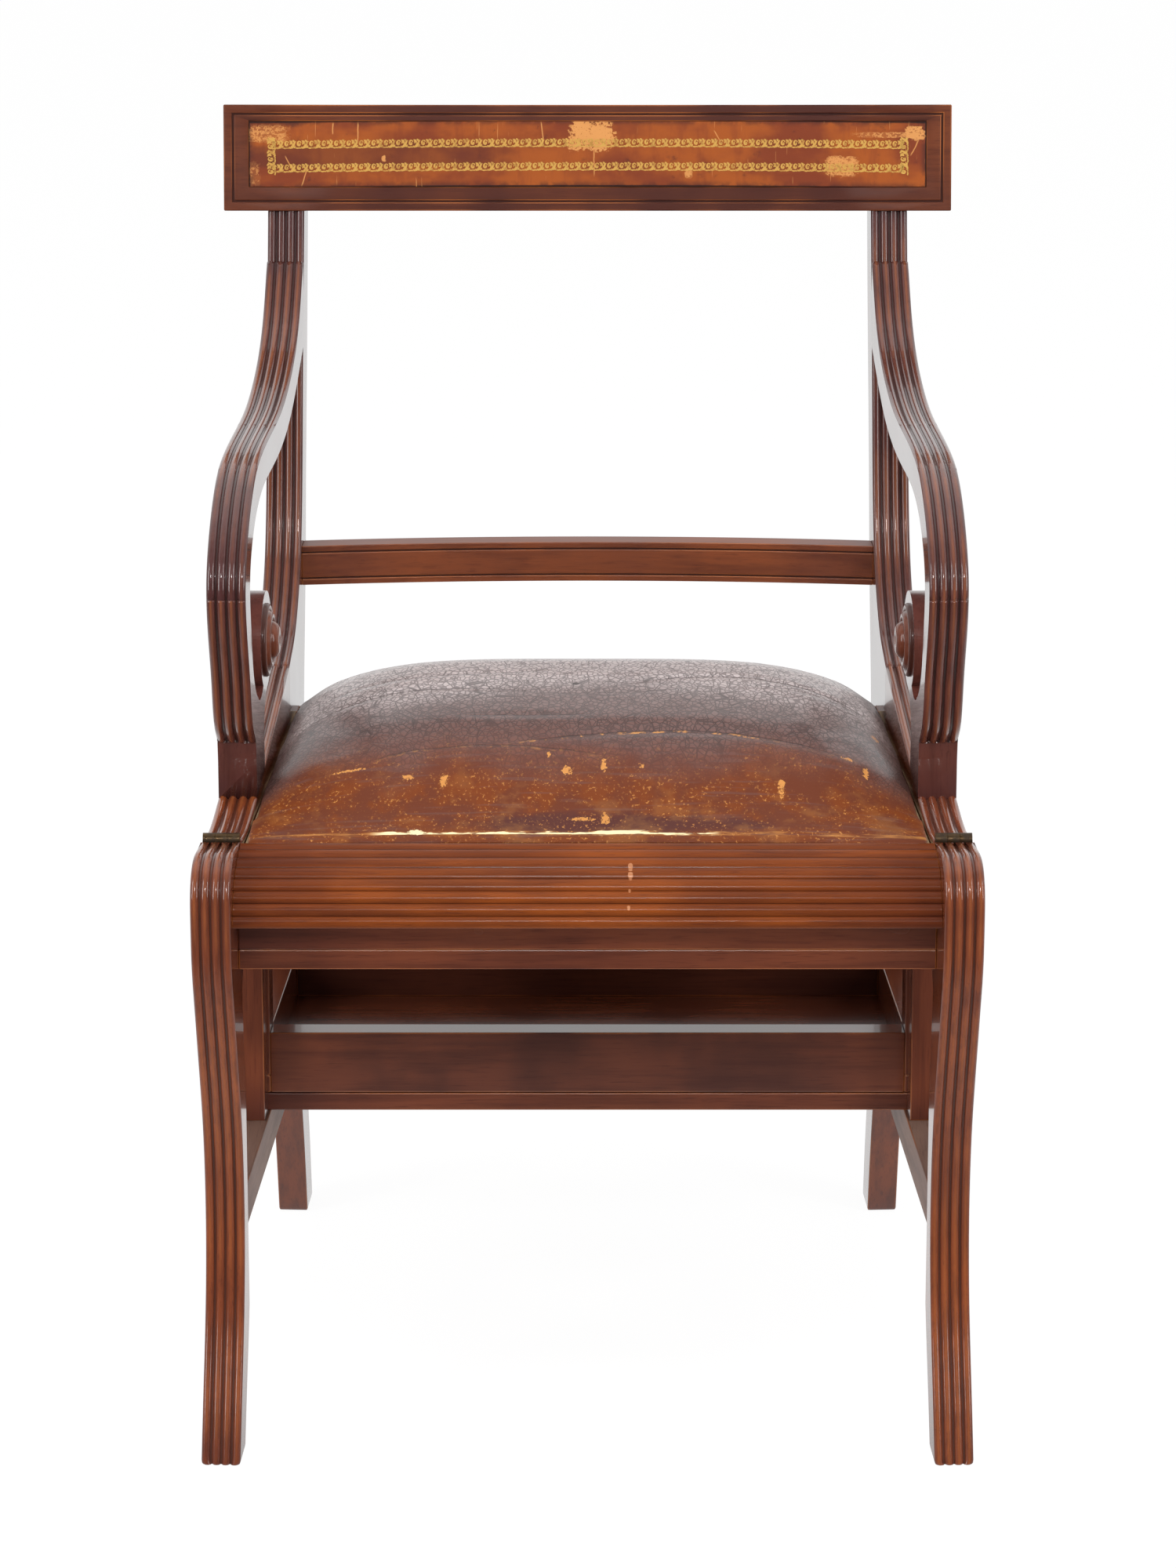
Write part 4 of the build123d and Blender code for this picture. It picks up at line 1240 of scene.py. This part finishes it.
@dataclass
class SeatCushion:
    """The drop-in seat's stuffed and crowned leather."""

    finish: SeatHide = SeatHide()
    node: str = "seat_cushion"
    crown: tuple[Place, ...] = (
        (0.0, 0.0), (0.055, 0.06), (0.11, 0.19), (0.17, 0.40),
        (0.26, 0.68), (0.38, 0.89), (0.52, 0.985), (0.64, 1.0),
        (0.78, 0.93), (0.90, 0.74), (0.97, 0.50), (1.0, 0.30),
    )
    side_height: float = 0.005
    side_gap: float = 0.0008
    end_gap: float = 0.0006
    columns: int = 96
    rows: int = 84
    fill: float = 0.75
    voxel: float = 0.005
    pressure: float = 3.0
    last_frame: int = 18
    swelling: float = 0.005
    rise_fade: float = 0.02
    front_fade: float = 0.05
    sideways: float = 0.3
    side_bend: float = 4.2
    side_fullness: float = 0.85
    crease_depth: float = 0.0012
    crease_width: float = 0.006
    crease_foot: float = 0.012
    smooth_angle: float = 60.0

    def half_width(self, y: float) -> float:
        """Half width of the seat between the side frames."""
        outer = FRAME_HALF_WIDTH - math.tan(TOE_IN) * (y - FRAME_FRONT)
        return outer - FRAME_THICKNESS / math.cos(TOE_IN) - self.side_gap

    def top(self, across: float, depth: float, low: Vector, high: Vector) -> float:
        """Height of the leather.

        Args:
            across: Place across the seat, from -1 to 1.
            depth: Place from the front to the back, from 0 to 1.
            low: Lowest corner of the cushion.
            high: Highest corner of the cushion.

        Returns:
            The height.
        """
        places, rises = zip(*self.crown)
        rise = float(np.interp(depth, places, rises))
        edge = low.z + self.side_height * (1 + rise) / 2
        peak = low.z + self.side_height + (high.z - low.z - self.side_height) * rise
        swell = (1 - abs(across) ** self.side_bend) ** self.side_fullness
        return edge + (peak - edge) * swell

    def shell(self) -> Piece:
        """The cushion's closed form before it is stuffed."""
        low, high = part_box(self.node)
        shape = bmesh.new()
        grid = {}
        for row in range(self.rows + 1):
            depth = row / self.rows
            y = low.y + self.end_gap + (high.y - low.y - 2 * self.end_gap) * depth
            for column in range(self.columns + 1):
                across = math.sin(math.pi / 2 * (2 * column / self.columns - 1))
                x = across * self.half_width(y)
                for level in (0, 1):
                    z = self.top(across, depth, low, high) if level else low.z
                    grid[row, column, level] = shape.verts.new((x, y, z))
        around = ((0, 0), (0, 1), (1, 1), (1, 0))
        for row in range(self.rows):
            for column in range(self.columns):
                for level in (0, 1):
                    quad = [grid[row + down, column + right, level] for down, right in around]
                    shape.faces.new(quad if level else quad[::-1])
        rim = [(0, column) for column in range(self.columns)]
        rim += [(row, self.columns) for row in range(self.rows)]
        rim += [(self.rows, column) for column in range(self.columns, 0, -1)]
        rim += [(row, 0) for row in range(self.rows, 0, -1)]
        for here, there in zip(rim, rim[1:] + rim[:1]):
            corners = ((here, 0), (there, 0), (there, 1), (here, 1))
            shape.faces.new([grid[(*spot, level)] for spot, level in corners])
        bmesh.ops.recalc_face_normals(shape, faces=shape.faces)
        return cast(shape, "seat_leather_cushion")

    def stuffed(self, piece: Piece) -> None:
        """Blow the cushion up as cloth, and keep a capped share of the swelling.

        Args:
            piece: The cushion, changed in place.
        """
        low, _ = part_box(self.node)
        remesh = piece.modifiers.new("even", "REMESH")
        remesh.mode = "VOXEL"
        remesh.voxel_size = self.voxel
        self.applied(piece)
        before = np.array([vert.co for vert in piece.data.vertices])
        cloth = piece.modifiers.new("stuffing", "CLOTH")
        cloth.settings.use_pressure = True
        cloth.settings.uniform_pressure_force = self.pressure
        cloth.settings.effector_weights.gravity = 0.0
        scene = bpy.context.scene
        for number in range(1, self.last_frame + 1):
            scene.frame_set(number)
        self.applied(piece)
        scene.frame_set(1)
        move = np.array([vert.co for vert in piece.data.vertices]) - before
        length = np.linalg.norm(move, axis=1, keepdims=True) + 1e-9
        move *= np.minimum(1.0, self.swelling / length)
        rise = np.clip((before[:, 2] - low.z - self.side_height) / self.rise_fade, 0.0, 1.0)
        front = np.clip((before[:, 1] - low.y) / self.front_fade - 1.0, 0.0, 1.0)
        move *= (rise * front)[:, None]
        move[:, 0] *= self.sideways
        for vert, start, step in zip(piece.data.vertices, before, move):
            vert.co = start + step
        smooth = piece.modifiers.new("settle", "SMOOTH")
        smooth.iterations = 3
        smooth.factor = 0.4
        finer = piece.modifiers.new("finer", "SUBSURF")
        finer.levels = 1
        finer.render_levels = 1
        self.applied(piece)

    def applied(self, piece: Piece) -> None:
        """Turn a piece's modifiers into plain mesh."""
        graph = bpy.context.evaluated_depsgraph_get()
        done = bpy.data.meshes.new_from_object(piece.evaluated_get(graph))
        piece.modifiers.clear()
        old = piece.data
        piece.data = done
        bpy.data.meshes.remove(old)

    def creased(self, piece: Piece) -> None:
        """Press the long curved creases into the leather.

        Args:
            piece: The cushion, changed in place.
        """
        low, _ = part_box(self.node)
        for vert in piece.data.vertices:
            if vert.co.z < low.z + self.crease_foot:
                continue
            drop = 0.0
            for crease in self.finish.creases:
                off = vert.co.x - crease.middle
                far = vert.co.y - (off * off * crease.bend + crease.y)
                reach = max(1.0 - (off / crease.half_length) ** 2, 0.0)
                deep = math.exp(-((far / self.crease_width) ** 2))
                drop += crease.weight * reach * self.crease_depth * deep
            vert.co.z -= drop

    def build(self) -> Piece:
        """Make the cushion in place of its CAD solid."""
        piece = self.shell()
        self.stuffed(piece)
        self.creased(piece)
        shade(piece.data, self.smooth_angle)
        hide = self.finish.material("seat_hide", *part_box(self.node))
        clad(piece, hide, self.node)
        return piece


@dataclass
class CrestPanel:
    """The crest rail's leather panel and its gilt-tooled band."""

    hide: CrestHide = CrestHide()
    gilt: Gilt = Gilt()
    node: str = "crest_leather"
    band_half_length: float = 0.2435
    band_half_height: float = 0.0089
    band_drop: float = 0.0009
    column_overlap: float = 0.005
    path_step: float = 0.006
    motif_length: float = 0.0094
    motif_height: float = 0.0068
    stroke_width: float = 0.66
    scroll_points: int = 12
    leaf_thickness: float = 0.00012

    def strokes(self) -> list[tuple[list[Place], list[float]]]:
        """Points and widths of the motif's strokes: a scroll and its leaves, one unit long."""
        count = self.scroll_points
        scroll = []
        for index in range(count):
            turn = 0.35 + index * 0.62
            x = 0.26 + math.cos(turn) * (0.17 - 0.011 * index)
            scroll.append((x, 0.02 + math.sin(turn) * (0.36 - 0.024 * index)))
        swell = [0.05 + 0.075 * math.sin(math.pi * (index + 0.5) / count) for index in range(count)]
        leaf = [(0.42, -0.30), (0.54, -0.42), (0.68, -0.36), (0.80, -0.14), (0.90, 0.14)]
        edge = [(-0.02, -0.40), (0.12, -0.46), (0.28, -0.42), (0.44, -0.46)]
        return [
            (scroll, swell),
            ([*leaf, (1.02, 0.34)], [0.05, 0.16, 0.20, 0.17, 0.12, 0.04]),
            ([(0.48, 0.42), (0.60, 0.32), (0.67, 0.12), (0.70, -0.06)], [0.04, 0.17, 0.14, 0.03]),
            ([(0.76, 0.48), (0.84, 0.36), (0.88, 0.20)], [0.05, 0.15, 0.05]),
            (edge, [0.10, 0.12, 0.10, 0.08]),
            ([(0.52, -0.05), (0.57, 0.08), (0.56, 0.22)], [0.03, 0.10, 0.03]),
            ([(0.88, -0.44), (0.93, -0.28), (1.00, -0.16)], [0.10, 0.12, 0.04]),
        ]

    def motif(self) -> Piece:
        """One flat repeat of the tooled band."""
        shape = bmesh.new()
        for points, widths in self.strokes():
            rows = []
            for index, (x, y) in enumerate(points):
                before = Vector(points[max(index - 1, 0)])
                run = (Vector(points[min(index + 1, len(points) - 1)]) - before).normalized()
                side = Vector((-run.y, run.x)) * widths[index] * self.stroke_width
                ends = ((x + side.x, y + side.y, 0), (x - side.x, y - side.y, 0))
                rows.append([shape.verts.new(end) for end in ends])
            for here, there in zip(rows, rows[1:]):
                shape.faces.new((here[0], here[1], there[1], there[0]))
        return cast(shape, "gilt_motif")

    def repeat_tree(self, material: Material) -> bpy.types.NodeTree:
        """Geometry nodes that lay a motif along a path.

        Args:
            material: The finish of the motifs.

        Returns:
            The node tree, with the motif, its length and its height as inputs.
        """
        tree = bpy.data.node_groups.new("gilt_roll", "GeometryNodeTree")
        kinds = {"Path": "Geometry", "Motif": "Object", "Length": "Float", "Height": "Float"}
        for name, kind in kinds.items():
            tree.interface.new_socket(name, in_out="INPUT", socket_type=f"NodeSocket{kind}")
        tree.interface.new_socket("Band", in_out="OUTPUT", socket_type="NodeSocketGeometry")
        graph = Graph(tree)

        def made(kind: str, sockets: Sockets = None, **settings: str) -> Socket:
            """Add a node and take its first output."""
            return graph.node(kind, settings, sockets).outputs[0]

        given = graph.node("NodeGroupInput").outputs
        path = made("GeometryNodeMeshToCurve", {"Mesh": given["Path"]})
        spacing = {"Curve": path, "Length": given["Length"]}
        points = made("GeometryNodeResampleCurve", spacing, mode="LENGTH")
        tangent = made("GeometryNodeInputTangent")
        turned = made("FunctionNodeAlignRotationToVector", {"Vector": tangent}, axis="X")
        facing = {"Rotation": turned, "Vector": (0.0, -1.0, 0.17)}
        faced = made("FunctionNodeAlignRotationToVector", facing, axis="Z", pivot_axis="X")
        sizes = {"X": given["Length"], "Y": given["Height"], "Z": 1.0}
        size = made("ShaderNodeCombineXYZ", sizes)
        motif = graph.node("GeometryNodeObjectInfo", None, {"Object": given["Motif"]})
        copies = {"Points": points, "Instance": motif.outputs["Geometry"]}
        copies.update({"Rotation": faced, "Scale": size})
        laid = made("GeometryNodeInstanceOnPoints", copies)
        real = made("GeometryNodeRealizeInstances", {"Geometry": laid})
        band = made("GeometryNodeSetMaterial", {"Geometry": real, "Material": material})
        graph.node("NodeGroupOutput", None, {0: band})
        return tree

    def on_face(self, x: float, z: float) -> Optional[Vector]:
        """The point of the panel's bowed and raked face behind a place in front of it."""
        return self.surface.ray_cast(Vector((x, -1.0, z)), Vector((0, 1, 0)))[0]

    def path(self) -> Piece:
        """The lines that the band follows: two long rows and a column at each end."""
        low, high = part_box(self.node)
        middle = (low.z + high.z) / 2 - self.band_drop
        long, tall, last = self.band_half_length, self.band_half_height, self.motif_length
        foot = -tall - self.column_overlap
        runs = [((-long, side * tall), (long - last, side * tall)) for side in (1, -1)]
        runs += [((side * long, foot), (side * long, foot + last * 2)) for side in (-1, 1)]
        shape = bmesh.new()
        for start, end in runs:
            count = max(int(round(math.dist(start, end) / self.path_step)), 2)
            row = []
            for index in range(count + 1):
                x, up = (a + (b - a) * index / count for a, b in zip(start, end))
                row.append(shape.verts.new(self.on_face(x, middle + up)))
            for here, there in zip(row, row[1:]):
                shape.edges.new((here, there))
        return cast(shape, "gilt_path")

    def band(self) -> Piece:
        """The gilt band, laid round the panel and pressed onto its face."""
        graph = bpy.context.evaluated_depsgraph_get()
        self.surface = BVHTree.FromObject(frame["nodes"][self.node], graph)
        path = self.path()
        values = {"Motif": self.motif(), "Length": self.motif_length}
        values["Height"] = self.motif_height
        modifier = path.modifiers.new("gilt_roll", "NODES")
        modifier.node_group = self.repeat_tree(self.gilt.material("gilt"))
        for item in modifier.node_group.interface.items_tree:
            if item.in_out == "INPUT" and item.name in values:
                modifier[item.identifier] = values[item.name]
        bpy.context.view_layer.update()
        graph = bpy.context.evaluated_depsgraph_get()
        flat = bpy.data.meshes.new_from_object(path.evaluated_get(graph))
        for piece in (path, values["Motif"]):
            bpy.data.objects.remove(piece)
        for vert in flat.vertices:
            hit = self.on_face(vert.co.x, vert.co.z)
            if hit:
                vert.co.y = hit.y - self.leaf_thickness
        return self.thickened(flat)

    def thickened(self, flat: Mesh) -> Piece:
        """Give the flat leaf its thickness, and its place on the chair.

        Args:
            flat: The flat leaf, changed in place.

        Returns:
            The piece.
        """
        shape = bmesh.new()
        shape.from_mesh(flat)
        for face in shape.faces:
            if face.normal.y > 0:
                face.normal_flip()
        grown = bmesh.ops.extrude_face_region(shape, geom=list(shape.faces))
        fresh = [part for part in grown["geom"] if isinstance(part, bmesh.types.BMVert)]
        bmesh.ops.translate(shape, verts=fresh, vec=(0, -self.leaf_thickness, 0))
        bmesh.ops.recalc_face_normals(shape, faces=shape.faces)
        shape.to_mesh(flat)
        shape.free()
        piece = put("crest_gilt_band", flat)
        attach(piece, BODY_OF[self.node])
        return piece

    def build(self) -> list[Piece]:
        """Dress the panel and lay its band."""
        panel = frame["nodes"][self.node]
        dress(panel, self.hide.material("crest_hide", *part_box(self.node)))
        return [panel, self.band()]


@dataclass
class Fittings:
    """Brass hinges and screws, and the beech and webbing under the seat."""

    brass: AgedBrass = AgedBrass()
    beech: Beech = Beech()
    jute: Jute = Jute()

    def build(self) -> list[Piece]:
        """Dress every fitting."""
        finishes = {
            "hinge": self.brass.material("aged_brass"),
            "seat_webbing": self.jute.material("jute"),
            "seat_frame": self.beech.material("beech"),
            "seat_front_rail": self.beech.material("beech_rail"),
            "corner_blocks": self.beech.material("beech_blocks"),
        }
        done = []
        for name, node in frame["nodes"].items():
            for start, material in finishes.items():
                if name.startswith(start):
                    dress(node, material)
                    done.append(node)
        return done


@dataclass(frozen=True)
class Lamp:
    """A soft rectangular lamp that points at the seat."""

    name: str
    place: Point
    size: Place
    watts: float
    mirrored: bool = True

    def hang(self, aim: Point) -> None:
        """Hang the lamp, turned towards a point."""
        data = bpy.data.lights.new(self.name, "AREA")
        data.shape = "RECTANGLE"
        data.size, data.size_y = self.size
        data.energy = self.watts
        piece = put(self.name, data)
        piece.location = self.place
        way = Vector(aim) - Vector(self.place)
        piece.rotation_euler = way.to_track_quat("-Z", "Y").to_euler()
        piece.visible_glossy = self.mirrored


@dataclass
class Studio:
    """White sweep, soft lamps and the camera."""

    lens: float = 126.0
    sensor: float = 36.0
    tilt: float = 15.87
    stand: Point = (0.0, -3.937, 1.540)
    shift: float = 0.0003
    aim: Point = (0.0, 0.0, 0.48)
    floor_reach: float = 30.0
    floor_level: float = -0.0004
    white: Colour = (1.0, 1.0, 1.0)
    lamps: tuple[Lamp, ...] = (
        Lamp("overhead", (0.0, -0.9, 2.6), (1.6, 1.0), 30.0, mirrored=False),
        Lamp("left", (-2.3, -1.6, 1.5), (0.7, 1.9), 32.0),
        Lamp("right", (2.3, -1.6, 1.5), (0.7, 1.9), 27.0),
        Lamp("front", (0.0, -3.4, 2.35), (0.40, 0.36), 27.0),
    )

    def floor(self) -> None:
        """The white floor, which keeps a faint shadow."""
        mesh = bpy.data.meshes.new("floor")
        far = self.floor_reach
        corners = ((-far, -far), (far, -far), (far, far), (-far, far))
        mesh.from_pydata([(x, y, self.floor_level) for x, y in corners], [], [(0, 1, 2, 3)])
        piece = put("floor", mesh)
        paint = Paint("floor_white", self.white)
        seen, mirrored = self.rays(paint)
        _, y, _ = paint.axes(paint.place())
        strength = 1.06 - mirrored * (1.0 - y.step(-0.9, 0.15) * 0.9)
        matt = paint.node("ShaderNodeBsdfDiffuse", None, {0: (0.86, 0.86, 0.86)})
        glow = paint.node("ShaderNodeEmission", None, {0: self.white, 1: strength})
        share = (seen * 0.90).at_least(mirrored)
        sides = {0: share, 1: matt.outputs[0], 2: glow.outputs[0]}
        mixed = paint.node("ShaderNodeMixShader", None, sides)
        paint.node("ShaderNodeOutputMaterial", None, {0: mixed.outputs[0]})
        mesh.materials.append(paint.made)

    def rays(self, graph: Graph) -> tuple[Value, Value]:
        """Whether the camera looks at a place, and whether the polish does."""
        path = graph.node("ShaderNodeLightPath").outputs
        return Value(graph, path["Is Camera Ray"]), Value(graph, path["Is Glossy Ray"])

    def sky(self) -> None:
        """White round the object, and a darker room behind the camera in the polish."""
        world = bpy.data.worlds.new("studio")
        bpy.context.scene.world = world
        world.use_nodes = True
        world.node_tree.nodes.clear()
        graph = Graph(world.node_tree)
        seen, mirrored = self.rays(graph)
        _, y, z = graph.axes(graph.node("ShaderNodeTexCoord").outputs["Generated"])
        room = y.step(-0.45, 0.25) * 0.85 + z.step(0.2, 0.9) * 0.20 + 0.06
        level = seen + (1.0 - seen) * (mirrored * room + (1.0 - mirrored) * 0.45)
        made = graph.node("ShaderNodeBackground", None, {0: self.white, 1: level})
        graph.node("ShaderNodeOutputWorld", None, {0: made.outputs[0]})

    def build(self) -> None:
        """Set the studio up."""
        self.floor()
        self.sky()
        for lamp in self.lamps:
            lamp.hang(self.aim)
        camera = bpy.data.cameras.new("camera")
        camera.lens = self.lens
        camera.sensor_fit = "VERTICAL"
        camera.sensor_height = self.sensor
        camera.shift_x = self.shift
        piece = put("camera", camera)
        piece.location = self.stand
        piece.rotation_euler = (math.radians(90.0 - self.tilt), 0, 0)
        bpy.context.scene.camera = piece
        bpy.context.scene.view_settings.view_transform = "Standard"


def main() -> None:
    """Build the chair's looks, piece by piece."""
    logging.basicConfig(level=logging.INFO, format="%(message)s")
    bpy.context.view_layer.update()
    Studio().build()
    for kind in (SideFrames, StepWork, Rosettes, SeatCushion, CrestPanel, Fittings):
        made = kind().build()
        for piece in made if isinstance(made, list) else [made]:
            log.info("%s: %s, %d faces", kind.__name__, piece.name, len(piece.data.polygons))


if __name__ == "__main__":
    main()
